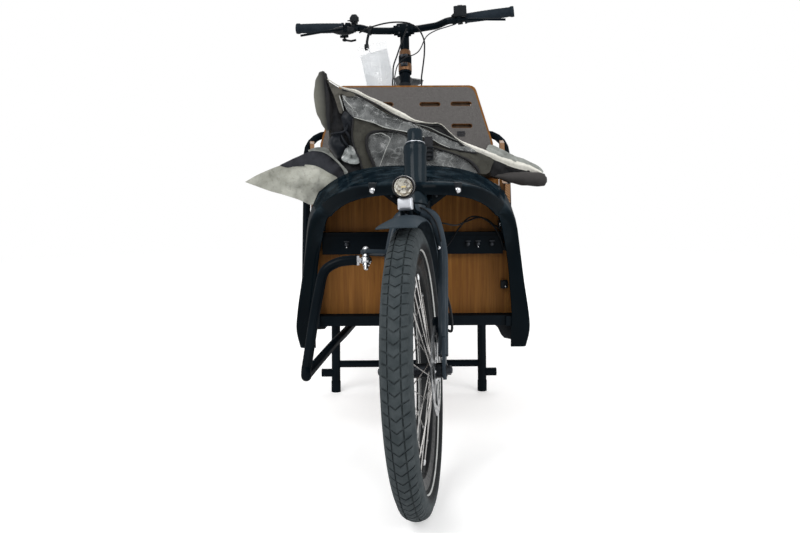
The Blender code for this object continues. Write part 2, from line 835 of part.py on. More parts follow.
def front_brake_hose():
    route = smooth_route([
        (0.0455, 0.1450, 0.500),
        (0.0520, 0.1309, 0.470),
        (0.0525, 0.1060, 0.425),
        (0.0545, 0.0850, 0.390),
        (0.0618, 0.0720, 0.362),
        (0.0645, 0.0680, 0.335),
        (0.0620, 0.0760, 0.316),
        (0.0510, 0.0860, 0.3200),
        (0.0440, 0.0890, 0.3330),
        (0.0400, 0.0880, 0.3400),
    ], 2)
    place(tube(route, 0.0025, 2), "front_brake_hose", rubber(), "fork")


def tie_rod():
    """The rod from the fork's arm, down beside the wheel, and back under the box to the column's arm."""
    ball_x, ball_y, ball_z = FRONT_BALL
    eye_low = FRONT_BALL - UP * EYE_HALF
    eye_high = FRONT_BALL + UP * EYE_HALF
    collar_x = ball_x - 0.0155
    shank = cylinder((ball_x - 0.006, ball_y, ball_z), (collar_x + GAP, ball_y, ball_z), 0.0045, 12)
    end = joined(cylinder(eye_low, eye_high, EYE_R, 14), shank)
    bore = cylinder(FRONT_BALL - UP * 0.02, FRONT_BALL + UP * 0.02, BALL_PIN_R + GAP, 12)
    place(cut(end, bore), "rod_end", steel(), "tie_rod")
    corners = [
        (collar_x, ball_y, ball_z),
        (-0.1332, ball_y, ball_z - 0.0015),
        (-0.1715, ball_y, ball_z - 0.014),
        (-0.1815, ball_y, ball_z - 0.046),
        (-0.194, ball_y, ball_z - 0.110),
        (-0.2087, ball_y, 0.241),
        (-0.209, 0.112, 0.2290),
        (-0.170, 0.390, 0.2405),
        (-0.151, 0.540, 0.2400),
        (REAR_BALL.x - 0.0008, REAR_BALL.y - 0.006, REAR_BALL.z),
    ]
    rod = tube(filleted(corners, 0.018), 0.0095, 3)
    collar = cylinder(
        (collar_x, ball_y, ball_z), (collar_x - 0.008, ball_y, ball_z), 0.0115, 16
    )
    eye = cylinder(REAR_BALL - UP * EYE_HALF, REAR_BALL + UP * EYE_HALF, EYE_R + 0.0015, 14)
    # The rod's end is cut flush with the eye, so that the arm above it turns freely.
    above = cylinder(REAR_BALL + UP * EYE_HALF, REAR_BALL + UP * 0.03, 0.022, 16)
    below = cylinder(REAR_BALL - UP * 0.03, REAR_BALL - UP * EYE_HALF, 0.022, 16)
    rod = cut(joined(rod, collar), above, below)
    bore = cylinder(REAR_BALL - UP * 0.02, REAR_BALL + UP * 0.02, BALL_PIN_R + 2 * RUN, 12)
    place(cut(joined(rod, eye), bore), "tie_rod", black_paint(), "tie_rod")


def main_frame():
    """Head tube, down tube and long beam, with the box's bottom bar and the gusset behind the hood."""
    neck_z = HEAD_BOTTOM_Z + 0.023
    neck_y = axis_at(FRONT_FOOT_Y, neck_z).y
    corners = [
        (0, neck_y + 0.019, neck_z),
        (0, 0.305, 0.440),
        (0, 0.345, BEAM_Z),
        (0, BEAM_END_Y, BEAM_Z),
    ]
    beam = tube(filleted(corners, 0.09, 4), BEAM_R, 4)
    tail = tube(
        filleted([
            (0, BEAM_END_Y - 0.03, BEAM_Z + 0.008),
            (0, 1.450, BEAM_TAIL_Z),
            (0, BEAM_TAIL_Y, BEAM_TAIL_Z),
        ], 0.05),
        BEAM_TAIL_R,
    )
    head = cylinder(
        axis_at(FRONT_FOOT_Y, HEAD_BOTTOM_Z), axis_at(FRONT_FOOT_Y, HEAD_TOP_Z), HEAD_TUBE_R, 20
    )
    low = BEAM_Z - BEAM_R
    bar_end = hood_half(HOOD_FRONT, low + BOTTOM_BAR_TALL) - 0.007
    bar = box(
        (-bar_end, BOTTOM_BAR_Y, low),
        (bar_end, BOTTOM_BAR_Y + BOTTOM_BAR_DEEP, low + BOTTOM_BAR_TALL),
    )
    ears = []
    for side in (-1, 1):
        ends = sorted((side * 0.205, side * bar_end))
        ear_low = (ends[0], HOOD_ARM_Y + HOOD_THICK + GAP, low)
        ears.append(box(ear_low, (ends[1], BOTTOM_BAR_Y + 0.01, low + BOTTOM_BAR_TALL)))
    gusset = front_plate(
        [[
            (-0.030, neck_z - 0.016),
            (0.030, neck_z - 0.016),
            (0.072, neck_z + 0.0065),
            (0.066, neck_z + 0.0125),
            (-0.066, neck_z + 0.0125),
            (-0.072, neck_z + 0.0065),
        ]],
        neck_y + 0.0364,
        neck_y + 0.0444,
    )
    cradle = []
    for side in (-1, 1):
        cheek = sorted((side * (MOTOR_HALF - 0.012), side * (MOTOR_HALF - 0.006)))
        bottom = MOTOR_TOP_Z + GAP
        outline = [(1.425, 0.365), (1.600, 0.365), (1.585, bottom), (1.445, bottom)]
        cradle.append(side_plate([outline], *cheek))
    web = box((-MOTOR_HALF + 0.008, 1.445, 0.364), (MOTOR_HALF - 0.008, 1.590, 0.372))
    # The down tube is relieved round the fork's crown race.
    relief = cylinder(
        steering_point(FRONT_FOOT_Y, HEAD_BOTTOM_Z / UP.z - 0.05),
        axis_at(FRONT_FOOT_Y, HEAD_BOTTOM_Z),
        HEAD_TUBE_R + 0.0005,
        20,
    )
    column_hole = cylinder(
        axis_at(REAR_FOOT_Y, BEAM_Z - 0.08), axis_at(REAR_FOOT_Y, BEAM_Z + 0.08), COLUMN_TUBE_R + GAP, 24
    )
    frame = joined(cut(beam, relief, column_hole), tail, head, bar, gusset, web, *ears, *cradle)
    steerer_bore = cylinder(
        axis_at(FRONT_FOOT_Y, HEAD_BOTTOM_Z - 0.02),
        axis_at(FRONT_FOOT_Y, HEAD_TOP_Z + 0.02),
        STEERER_R + RUN,
    )
    place(cut(frame, steerer_bore), "main_frame", black_paint())


def hood_half(edge, z):
    """Half the width of one of the hood's outlines at height z."""
    half, top, bulge = edge
    if z < HOOD_SPRING_Z:
        return half + bulge * math.sin(math.pi * (HOOD_SPRING_Z - z) / (HOOD_SPRING_Z - HOOD_LOW_Z))
    rise = (z - HOOD_SPRING_Z) / (top - HOOD_SPRING_Z)
    return half * (1 - rise**HOOD_POWER) ** (1 / HOOD_POWER)


def hood_outline(edge, arm_steps=4, arch_steps=9):
    """The outline's points, from the foot of the left arm over the top to the foot of the right."""
    half, top, bulge = edge
    left = []
    for i in range(arm_steps):
        z = HOOD_LOW_Z + (HOOD_SPRING_Z - HOOD_LOW_Z) * i / arm_steps
        left.append((hood_half(edge, z), z))
    for i in range(arch_steps):
        angle = math.pi / 2 * i / arch_steps
        x = half * math.cos(angle) ** (2 / HOOD_POWER)
        z = HOOD_SPRING_Z + (top - HOOD_SPRING_Z) * math.sin(angle) ** (2 / HOOD_POWER)
        left.append((x, z))
    return left + [(0, top)] + [(-x, z) for x, z in reversed(left)]


def hood_front_y(x):
    """The flange sweeps forward from the arms to the nose at the head tube."""
    share = min(abs(x) / 0.20, 1)
    return HOOD_NOSE_Y + (HOOD_ARM_Y - HOOD_NOSE_Y) * share**1.7


def hood_rear_y(x, z):
    if z < HOOD_SPRING_Z:
        return HOOD_REAR_ARM_Y
    share = min(abs(x) / HOOD_REAR[0], 1)
    return HOOD_REAR_TOP_Y - (HOOD_REAR_TOP_Y - HOOD_REAR_ARM_Y) * share**3


def front_arch():
    """The moulded hood: a flange that faces forward and a skin that runs back round the box's front."""
    inner = [(x, hood_front_y(x), z) for x, z in hood_outline(HOOD_INNER)]
    front = [(x, hood_front_y(x), z) for x, z in hood_outline(HOOD_FRONT)]
    rear = [(x, hood_rear_y(x, z), z) for x, z in hood_outline(HOOD_REAR)]
    count = len(front)
    faces = []
    for ring in (0, 1):
        for i in range(count - 1):
            a = ring * count + i
            faces.append((a, a + count, a + count + 1, a + 1))
    mesh = bpy.data.meshes.new("hood")
    mesh.from_pydata(inner + front + rear, [], faces)
    obj = linked(mesh)
    wall = obj.modifiers.new("Wall", "SOLIDIFY")
    wall.thickness = HOOD_THICK
    wall.offset = -1
    wall.use_even_offset = True
    hood = tidy_mesh(obj)
    hole = cylinder(
        axis_at(FRONT_FOOT_Y, HEAD_BOTTOM_Z - 0.03), axis_at(FRONT_FOOT_Y, HEAD_TOP_Z + 0.03),
        HEAD_TUBE_R + 0.0025, 20,
    )
    place(cut(hood, hole), "front_arch", teal_gloss())


def side_out_x(y):
    """The outer face of the box's side panels, which spread towards the rear."""
    return SIDE_FRONT_X + SIDE_SLOPE * (y - 0.44)


def side_in_x(y):
    return side_out_x(y) - PLY * math.sqrt(1 + SIDE_SLOPE**2)


def rear_plane_y(z):
    """The mid plane of the box's tilted rear end."""
    return REAR_TOP_Y + (z - REAR_ARCH_TOP_Z) * math.tan(REAR_TILT)


def rear_tilted(outlines, forward, thickness):
    """A plate in the tilted plane of the box's rear, drawn in (x, height along the slope)."""
    origin = Vector((0, rear_plane_y(0), 0))
    slope = Vector((0, math.sin(REAR_TILT), math.cos(REAR_TILT)))
    front = Vector((0, -math.cos(REAR_TILT), math.sin(REAR_TILT)))
    turn = Matrix.Identity(4)
    turn.col[0] = (1, 0, 0, 0)
    turn.col[1] = (*slope, 0)
    turn.col[2] = (*front, 0)
    turn.col[3] = (*(origin + front * (forward + thickness / 2)), 1)
    return plate(outlines, thickness, turn)


def along_slope(z):
    return z / math.cos(REAR_TILT)


def rounded(corners, radius, steps=3):
    """A closed outline with arcs at its corners."""
    flat = [Vector((x, y, 0)) for x, y in corners]
    middle = (flat[-1] + flat[0]) / 2
    path = filleted([middle, *flat, middle], radius, steps)
    return [(point.x, point.y) for point in path[:-1]]


def wooden_box():
    """Floor, front, sides, rear, bench and backrest, each its own board."""
    floor_low = BEAM_Z + BEAM_R + CROSSBAR_THICK + 2 * GAP
    front_y = SIDE_FRONT_Y + 0.010
    back_y = rear_plane_y(floor_low) - PLY
    floor = [
        (-side_in_x(front_y) + RUN, front_y),
        (side_in_x(front_y) - RUN, front_y),
        (side_in_x(back_y) - RUN, back_y),
        (-side_in_x(back_y) + RUN, back_y),
    ]
    place(floor_plate([floor], floor_low, floor_low + PLY), "floor_board", plywood())

    # Front panel: inside the hood's inner outline, notched round the beam
    bar_top = BEAM_Z - BEAM_R + BOTTOM_BAR_TALL
    arch = [(x, min(z, PANEL_TOP_Z)) for x, z in hood_outline(PANEL_EDGE) if z > bar_top + 0.01]
    bottom = bar_top + GAP
    notch_r = (BEAM_R + GAP) / math.cos(math.pi / 16)
    notch = []
    for i in range(9):
        angle = math.pi * i / 8
        notch.append((-notch_r * math.cos(angle), BEAM_Z + notch_r * math.sin(angle)))
    half = PANEL_EDGE[0]
    front = [(-half, bottom), (-notch_r, bottom), *notch, (notch_r, bottom), (half, bottom), *arch]
    front = without_repeats(front)
    place(front_plate([front], PANEL_Y, PANEL_Y + PANEL_THICK), "front_panel", plywood())

    # Side panels, drawn from the side and turned to the box's taper
    reach = REAR_ARCH_R / math.cos(REAR_TILT) + RUN
    top = REAR_ARCH_TOP_Z - 0.020
    side = [
        (SIDE_FRONT_Y, SIDE_LOW_Z),
        (rear_plane_y(SIDE_LOW_Z) - reach, SIDE_LOW_Z),
        (rear_plane_y(top) - reach, top),
        (1.020, top - 0.010),
        (0.900, SIDE_TOP_Z + 0.025),
        (0.820, SIDE_TOP_Z),
        (COVER_FRONT_Y, SIDE_TOP_Z),
        (COVER_FRONT_Y - 0.012, SIDE_NOTCH_Z),
        (SIDE_FRONT_Y, SIDE_NOTCH_Z),
    ]
    for name, hand in (("side_panel_left", 1), ("side_panel_right", -1)):
        flat = side_plate([side], -PLY / 2, PLY / 2)
        taper = math.atan(SIDE_SLOPE)
        mid = Vector((hand * (side_out_x(SIDE_FRONT_Y) + side_in_x(SIDE_FRONT_Y)) / 2, 0, 0))
        swing = Matrix.Translation((0, SIDE_FRONT_Y, 0)) @ Matrix.Rotation(-hand * taper, 4, "Z")
        flat.data.transform(Matrix.Translation(mid) @ swing @ Matrix.Translation((0, -SIDE_FRONT_Y, 0)))
        place(flat, name, plywood())

    # Rear panel and backrest share the tilted plane
    low = floor_low + PLY + 0.004
    half_low = side_in_x(rear_plane_y(low) - PLY) - 0.0008
    half_top = side_in_x(rear_plane_y(REAR_ARCH_TOP_Z - 0.030) - PLY) - 0.0008
    shoulder = along_slope(REAR_ARCH_TOP_Z - 0.070)
    rear_top = along_slope(REAR_ARCH_TOP_Z - 2 * REAR_ARCH_R)
    rear = [
        (-half_low, along_slope(low)),
        (half_low, along_slope(low)),
        (half_top, shoulder),
        (half_top - 0.035, rear_top),
        (0.035 - half_top, rear_top),
        (-half_top, shoulder),
    ]
    place(rear_tilted([rear], -PLY / 2, PLY), "rear_panel", plywood())
    back_low = along_slope(BENCH_LOW_Z + 2 * PLY + 0.009)
    back_shoulder = along_slope(REAR_ARCH_TOP_Z - 0.035)
    back_top = along_slope(BACKREST_TOP_Z)
    top_half = BACKREST_HALF - 0.050
    back = rounded([
        (-BACKREST_HALF, back_low),
        (BACKREST_HALF, back_low),
        (BACKREST_HALF, back_shoulder),
        (top_half, back_top),
        (-top_half, back_top),
        (-BACKREST_HALF, back_shoulder),
    ], 0.022)
    slots = []
    for x, down in ((0.070, 0.057), (0.163, 0.056), (0.164, 0.122)):
        for hand in (-1, 1):
            height = along_slope(BACKREST_TOP_Z - down)
            ends = [(hand * x + reach, height) for reach in (-0.0245, 0.0245)]
            slots.append(capsule(ends[0], 0.006, ends[1], 0.006, 4))
    grey = material("grey_board", (0.13, 0.13, 0.14), 0.8)
    place(rear_tilted([back, *slots], REAR_ARCH_R + GAP, PLY), "backrest", grey)

    seat_back = rear_plane_y(BENCH_LOW_Z) - PLY / 2 / math.cos(REAR_TILT) - RUN
    bench = [
        (-side_in_x(BENCH_FRONT_Y) + RUN, BENCH_FRONT_Y),
        (side_in_x(BENCH_FRONT_Y) - RUN, BENCH_FRONT_Y),
        (side_in_x(seat_back) - RUN, seat_back),
        (-side_in_x(seat_back) + RUN, seat_back),
    ]
    cover = material("seat_fabric", (0.05, 0.05, 0.055), 0.9)
    place(floor_plate([bench], BENCH_LOW_Z, BENCH_LOW_Z + 2 * PLY), "bench_seat", cover)


def without_repeats(points):
    kept = []
    for point in points:
        if not kept or math.dist(point, kept[-1]) > 1e-4:
            kept.append(point)
    return kept


def box_metalwork():
    """Bars that carry the box: mid bar, floor crossbars, and the arch behind it."""
    half = hood_half(HOOD_INNER, MID_BAR_TOP_Z - 0.0085) - 0.002
    bar = front_plate(
        [[
            (-half, MID_BAR_LOW_Z),
            (half, MID_BAR_LOW_Z),
            (half, MID_BAR_TOP_Z),
            (-half, MID_BAR_TOP_Z),
        ]],
        PANEL_Y - GAP - MID_BAR_DEEP,
        PANEL_Y - GAP,
    )
    face = PANEL_Y - GAP - MID_BAR_DEEP
    lip = box((-half, face - 0.003, MID_BAR_TOP_Z - 0.013), (half, face + 0.001, MID_BAR_TOP_Z - 0.008))
    head_z = (MID_BAR_LOW_Z + MID_BAR_TOP_Z) / 2 - 0.002
    heads = [
        cylinder((x, face - 0.0047, head_z), (x, face + 0.001, head_z), 0.006, 12)
        for x in (-0.146, 0.122, 0.144, 0.175)
    ]
    place(joined(bar, lip, *heads), "mid_cross_bar", black_paint())

    low = BEAM_Z + BEAM_R + GAP
    high = low + CROSSBAR_THICK
    front_half = side_in_x(CROSSBAR_FRONT_Y + 0.015) - 0.004
    bar_front = (-front_half, CROSSBAR_FRONT_Y, low)
    front_bar = box(bar_front, (front_half, CROSSBAR_FRONT_Y + CROSSBAR_DEEP, high))
    place(front_bar, "floor_crossbar_front", black_paint())

    bar_half = STAND_X + 0.016
    clevis = [box((-bar_half, STAND_PIVOT_Y - 0.025, low), (bar_half, STAND_PIVOT_Y + 0.025, high))]
    eye_r = STAND_TUBE_R + RUN
    for hand in (-1, 1):
        for inner in (-1, 1):
            near = STAND_EYE_HALF + RUN
            ends = sorted((hand * STAND_X + inner * near, hand * STAND_X + inner * (near + 0.004)))
            outline = capsule((STAND_PIVOT_Y, STAND_PIVOT_Z), eye_r, (STAND_PIVOT_Y, low + 0.002), eye_r)
            clevis.append(side_plate([outline], *ends))
        reach = STAND_EYE_HALF + 0.006
        clevis.append(
            cylinder(
                (hand * STAND_X - reach, STAND_PIVOT_Y, STAND_PIVOT_Z),
                (hand * STAND_X + reach, STAND_PIVOT_Y, STAND_PIVOT_Z),
                STAND_PIN_R,
                12,
            )
        )
    above = box(
        (-2 * STAND_X, STAND_PIVOT_Y - 0.1, high), (2 * STAND_X, STAND_PIVOT_Y + 0.1, high + 0.05)
    )
    place(cut(joined(*clevis), above), "stand_crossbar", black_paint())

    corners = [
        (REAR_ARCH_HALF, rear_plane_y(REAR_ARCH_LOW_Z), REAR_ARCH_LOW_Z),
        (REAR_ARCH_HALF, rear_plane_y(REAR_ARCH_TOP_Z), REAR_ARCH_TOP_Z),
        (-REAR_ARCH_HALF, rear_plane_y(REAR_ARCH_TOP_Z), REAR_ARCH_TOP_Z),
        (-REAR_ARCH_HALF, rear_plane_y(REAR_ARCH_LOW_Z), REAR_ARCH_LOW_Z),
    ]
    lugs = []
    for hand in (-1, 1):
        for z in (0.36, 0.46):
            back = rear_plane_y(z)
            front = back - 0.040
            ends = [(side_out_x(y) + GAP, y) for y in (front, back)]
            outline = [*ends, (REAR_ARCH_HALF, back), (REAR_ARCH_HALF - 0.006, back - 0.010)]
            outline.append((ends[0][0] + 0.004, front))
            lugs.append(floor_plate([[(hand * x, y) for x, y in outline]], z, z + 0.018))
    place(joined(tube(filleted(corners, 0.06, 5), REAR_ARCH_R), *lugs), "rear_arch", black_paint())


def rain_cover():
    """The folded rain cover on the box, with one wing that hangs out at the front right."""
    rises = [
        (-0.230, 0.200),
        (-0.210, 0.268),
        (-0.195, 0.255),
        (-0.025, 0.158),
        (0.080, 0.149),
        (0.180, 0.086),
        (0.360, 0.032),
        (0.350, 0.008),
        (0.250, 0.023),
        (0.244, GAP),
        (0.229, GAP),
        (0.216, 0.029),
        (0.100, 0.0485),
        (-0.160, 0.0485),
        (-0.200, 0.026),
        (-0.229, GAP),
        (-0.244, GAP),
    ]
    outline = [(x, SIDE_TOP_Z + rise) for x, rise in rises]
    place(front_plate([outline], COVER_FRONT_Y, COVER_FRONT_Y + COVER_DEEP), "rain_cover", canvas())
    heading = math.atan2(0.13, 0.207)
    along = Vector((math.cos(heading), math.sin(heading), 0))
    inner = Vector((-0.170, COVER_FRONT_Y - 0.0058, 0))
    wing = [(-0.207, 0.0125), (-0.119, 0.064), (0, 0.082), (0.002, 0.052), (-0.084, -0.044)]
    flat = [(x / math.cos(heading), SIDE_TOP_Z + rise) for x, rise in wing]
    turn = Matrix.Identity(4)
    turn.col[0] = (*along, 0)
    turn.col[1] = (0, 0, 1, 0)
    turn.col[2] = (*along.cross(Vector((0, 0, 1))), 0)
    turn.col[3] = (*inner, 1)
    place(plate([flat], 0.010, turn), "rain_cover_flap", canvas())


def column():
    """The fixed column tube, and the steering column that turns in it, with its lower arm and stem."""
    tube_low = axis_at(REAR_FOOT_Y, COLUMN_TUBE_LOW_Z)
    tube_top = axis_at(REAR_FOOT_Y, COLUMN_TUBE_TOP_Z)
    outer = cylinder(tube_low, tube_top, COLUMN_TUBE_R, 24)
    bore = cylinder(tube_low - UP * 0.02, tube_top + UP * 0.02, STEERER_R + RUN, 16)
    place(cut(outer, bore), "column_tube", black_paint())

    arm_low = REAR_BALL_ALONG + EYE_HALF + 2 * RUN
    arm_high = arm_low + ARM_THICK + 0.001
    shaft = cylinder(steering_point(REAR_FOOT_Y, arm_low), tube_top + UP * 0.03, STEERER_R)
    arm = steering_plate(
        [capsule((0, 0), 0.019, (-BALL_SIDE, BALL_AHEAD), 0.0105)], REAR_FOOT_Y, arm_low, arm_high
    )
    pin_low = REAR_BALL_ALONG - EYE_HALF - 2 * RUN
    pin = cylinder(
        steering_point(REAR_FOOT_Y, pin_low - 0.004, -BALL_SIDE, BALL_AHEAD),
        steering_point(REAR_FOOT_Y, arm_high + 0.004, -BALL_SIDE, BALL_AHEAD),
        BALL_PIN_R,
        12,
    )
    washer = cylinder(
        steering_point(REAR_FOOT_Y, pin_low - 0.005, -BALL_SIDE, BALL_AHEAD),
        steering_point(REAR_FOOT_Y, pin_low, -BALL_SIDE, BALL_AHEAD),
        0.0075,
        12,
    )
    collar = cylinder(tube_top + UP * RUN, tube_top + UP * 0.026, 0.0205, 20)
    post_top = axis_at(REAR_FOOT_Y, POST_TOP_Z)
    post = cylinder(tube_top + UP * 0.01, post_top, POST_R, 16)
    clamp = cylinder(axis_at(REAR_FOOT_Y, 0.916), post_top + UP * 0.0005, POST_R + 0.0045, 18)
    neck = cylinder(post_top - UP * 0.01, axis_at(REAR_FOOT_Y, 1.035) + AHEAD * 0.006, 0.0145, 16)
    head = cylinder((-0.021, BAR_Y, BAR_Z), (0.021, BAR_Y, BAR_Z), CLAMP_R + 0.0055, 18)
    column_piece = joined(shaft, arm, pin, washer, collar, post, clamp, neck, head)
    bar_hole = cylinder((-0.05, BAR_Y, BAR_Z), (0.05, BAR_Y, BAR_Z), CLAMP_R + GAP, 18)
    place(cut(column_piece, bar_hole), "steering_column", black_paint(), "handlebars")


def bar_point(x):
    """The bar's centre line on its straight outer run."""
    inner = BAR_BEND[-1]
    share = (abs(x) - inner[0]) / (BAR_END_X - inner[0])
    return Vector((x, inner[1] + share * (BAR_END_Y - inner[1]), inner[2] + share * (BAR_END_Z - inner[2])))


def bar_ring(x, half, radius, bore=BAR_R + GAP):
    """A ring on the bar's straight run, and the cutter for its bore."""
    run = (bar_point(BAR_END_X) - bar_point(BAR_BEND[-1][0])).normalized()
    run.x *= 1 if x > 0 else -1
    middle = bar_point(x)
    ring = cylinder(middle - run * half, middle + run * half, radius, 14)
    hole = cylinder(middle - run * (half + 0.02), middle + run * (half + 0.02), bore, 14)
    return ring, hole


def handlebar():
    right = [Vector(point) for point in BAR_BEND] + [bar_point(BAR_END_X)]
    path = filleted([*reversed(mirrored(right)), *right], 0.06, 3)
    middle = cylinder((-0.032, BAR_Y, BAR_Z), (0.032, BAR_Y, BAR_Z), CLAMP_R, 18)
    place(joined(tube(path, BAR_R), middle), "handlebar", black_paint(), "handlebars")
    for name, hand in (("grip_left", 1), ("grip_right", -1)):
        ring, hole = bar_ring(hand * (BAR_END_X - GRIP_LONG / 2 - 0.001), GRIP_LONG / 2, GRIP_R)
        place(cut(ring, hole), name, rubber(), "handlebars")


def lever_mounts():
    """Ring, reservoir and pivot ears for each brake lever; the right one also carries the shifter."""
    for hand, side in ((1, "left"), (-1, "right")):
        ring, hole = bar_ring(hand * LEVER_X, 0.0075, RING_R)
        pivot = PIVOTS["brake_lever_" + side]
        body = cylinder((hand * 0.186, 1.336, 1.0685), (hand * 0.140, 1.327, 1.0670), 0.0085, 12)
        neck = cylinder((hand * LEVER_X, 1.350, 1.0730), (hand * LEVER_X, 1.334, 1.0690), 0.0075, 12)
        ears = []
        back = Vector((0, 0.026, 0))
        for low, high in ((-0.0085, -0.0045), (0.0045, 0.0085)):
            middle = LEVER_UP * (low + high) / 2
            ears.append(cylinder(pivot + LEVER_UP * low, pivot + LEVER_UP * high, 0.0068, 12))
            ears.append(cylinder(pivot + middle, pivot + middle + back, 0.0019, 6))
        pin = cylinder(pivot - LEVER_UP * 0.0083, pivot + LEVER_UP * 0.0083, 0.0025, 10)
        extras = []
        if side == "right":
            pod = PIVOTS["shift_lever"]
            base = pod + Vector((0, -0.006, 0.001))
            extras.append(cylinder(base + 0.003 * LEVER_UP, base - 0.003 * LEVER_UP, 0.014, 20))
            arm_start = pod + Vector((0.016, -0.012, 0.016))
            extras.append(cylinder(arm_start, pod + Vector((0.004, -0.007, 0.002)), 0.006, 10))
            extras.append(cylinder(pod - UP * 0.014, pod + UP * 0.002, 0.003, 10))
        mount = joined(ring, body, neck, pin, *ears, *extras)
        place(cut(mount, hole), "lever_mount_" + side, black_paint(), "handlebars")


def hand_levers():
    for hand, side in ((1, "left"), (-1, "right")):
        pivot = PIVOTS["brake_lever_" + side]
        eye = cylinder(pivot - LEVER_UP * 0.0038, pivot + LEVER_UP * 0.0038, 0.0065, 14)
        path = smooth_route([
            pivot + ACROSS * (hand * 0.003),
            pivot + Vector((hand * 0.015, -0.004, -0.0003)),
            pivot + Vector((hand * 0.050, -0.010, -0.003)),
            pivot + Vector((hand * 0.100, -0.006, -0.007)),
            pivot + Vector((hand * 0.143, -0.009, -0.011)),
        ], 2)
        blade = tube(path, 0.0036, 2)
        bore = cylinder(pivot - LEVER_UP * 0.02, pivot + LEVER_UP * 0.02, 0.0025 + RUN, 10)
        place(cut(joined(eye, blade), bore), "brake_lever_" + side, black_paint(), "brake_lever_" + side)

    pod = PIVOTS["shift_lever"]
    eye = cylinder(pod - UP * 0.0125, pod - UP * 0.0085, 0.0075, 14)
    bend = pod + Vector((0.018, 0.016, -0.012))
    blade = tube([pod - UP * 0.0105, bend, pod + Vector((0.034, 0.014, -0.010))], 0.0035, 2)
    bore = cylinder(pod - UP * 0.02, pod + UP * 0.02, 0.003 + RUN, 10)
    place(cut(joined(eye, blade), bore), "shift_lever", black_plastic(), "shift_lever")


def bell_and_display():
    ring, hole = bar_ring(-0.161, 0.006, 0.0145)
    base = cylinder((-0.158, 1.3605, 1.088), (-0.158, 1.3605, 1.096), 0.011, 14)
    dome = cylinder((-0.158, 1.3605, 1.0955), (-0.158, 1.3605, 1.108), 0.015, 20)
    crown = cylinder((-0.158, 1.3605, 1.1075), (-0.158, 1.3605, 1.117), 0.015, 20, 0.008)
    lever_at = PIVOTS["bell_lever"]
    arm = cylinder((-0.158, 1.350, 1.0910), (-0.158, lever_at.y, 1.0910), 0.0022, 8)
    pin = cylinder(lever_at - Vector((0, 0, 0.0045)), lever_at + Vector((0, 0, 0.006)), 0.0018, 8)
    bell = cut(joined(ring, base, dome, crown, arm, pin), hole)
    place(bell, "bell", material("bell", (0.05, 0.05, 0.055), 0.25, 1.0), "handlebars")
    eye = cylinder(lever_at - Vector((0, 0, 0.0002)), lever_at + Vector((0, 0, 0.0035)), 0.0042, 12)
    paddle = box(lever_at + Vector((-0.018, -0.003, 0)), lever_at + Vector((-0.002, 0.000, 0.0033)))
    bore = cylinder(lever_at - Vector((0, 0, 0.01)), lever_at + Vector((0, 0, 0.02)), 0.0018 + RUN, 8)
    place(cut(joined(eye, paddle), bore), "bell_lever", black_plastic(), "bell_lever")

    ring, hole = bar_ring(0.161, 0.006, 0.0145)
    case = box((0.163, 1.326, 1.0790), (0.203, 1.344, 1.1135), 0.003)
    arm = cylinder((0.158, 1.355, 1.086), (0.170, 1.338, 1.092), 0.006, 12)
    well = box((0.1750, 1.3290, 1.1080), (0.1910, 1.3410, 1.1200))
    place(cut(joined(ring, case, arm), hole, well), "display", black_plastic(), "handlebars")
    button = box((0.1754, 1.3294, 1.1098), (0.1906, 1.3406, 1.1155), 0.0008)
    place(button, "display_button", material("button", (0.25, 0.25, 0.26), 0.5), "display_button")


def bar_cables():
    """Brake, shift and display cables gathered by a clip on the steering column's post."""
    clip_z = 0.870
    low = axis_at(REAR_FOOT_Y, clip_z)
    clip = cylinder(low, low + UP * 0.012, POST_R + 0.0045, 20)
    hole = cylinder(low - UP * 0.02, low + UP * 0.04, POST_R + GAP, 20)
    front = low + UP * 0.006 + AHEAD * (POST_R + 0.0045)
    down = axis_at(REAR_FOOT_Y, 0.66) + AHEAD * (POST_R + 0.0085)
    routes = [
        [(-0.1385, 1.3265, 1.0670), (-0.110, 1.305, 1.083), (-0.050, 1.285, 1.098), (0.010, 1.278, 1.100),
         (0.052, 1.282, 1.070), (0.062, 1.290, 1.010), (0.050, 1.287, 0.945), (0.024, 1.284, 0.895),
         front + Vector((0.006, 0, 0)), down + Vector((0.006, 0, 0.09)), down + Vector((0.005, 0, 0))],
        [(0.1385, 1.3265, 1.0670), (0.108, 1.306, 1.080), (0.060, 1.290, 1.088), (0.000, 1.270, 1.088),
         (-0.050, 1.270, 1.050), (-0.058, 1.282, 0.990), (-0.040, 1.286, 0.930),
         front + Vector((-0.006, 0, 0)), down + Vector((-0.006, 0, 0.09)), down + Vector((-0.005, 0, 0))],
    ]
    cords = [tube(smooth_route(route, 2), 0.0025, 1) for route in routes]
    place(cut(joined(clip, *cords), hole), "bar_cables", rubber(), "handlebars")


def front_cable_loop():
    """The light's and brake's lines leave the down tube and loop behind the hood's right flange."""
    route = smooth_route([
        (0.0336, 0.3080, 0.428),
        (0.0520, 0.3300, 0.440),
        (0.0758, 0.3600, 0.455),
        (0.1000, 0.3900, 0.4870),
        (0.1265, 0.4000, 0.512),
        (0.1590, 0.4000, 0.508),
        (0.1800, 0.4000, 0.494),
        (0.1960, 0.4010, 0.482),
        (0.2040, 0.4040, 0.466),
    ], 3)
    place(tube(route, 0.0019, 1), "front_cable_loop", rubber())


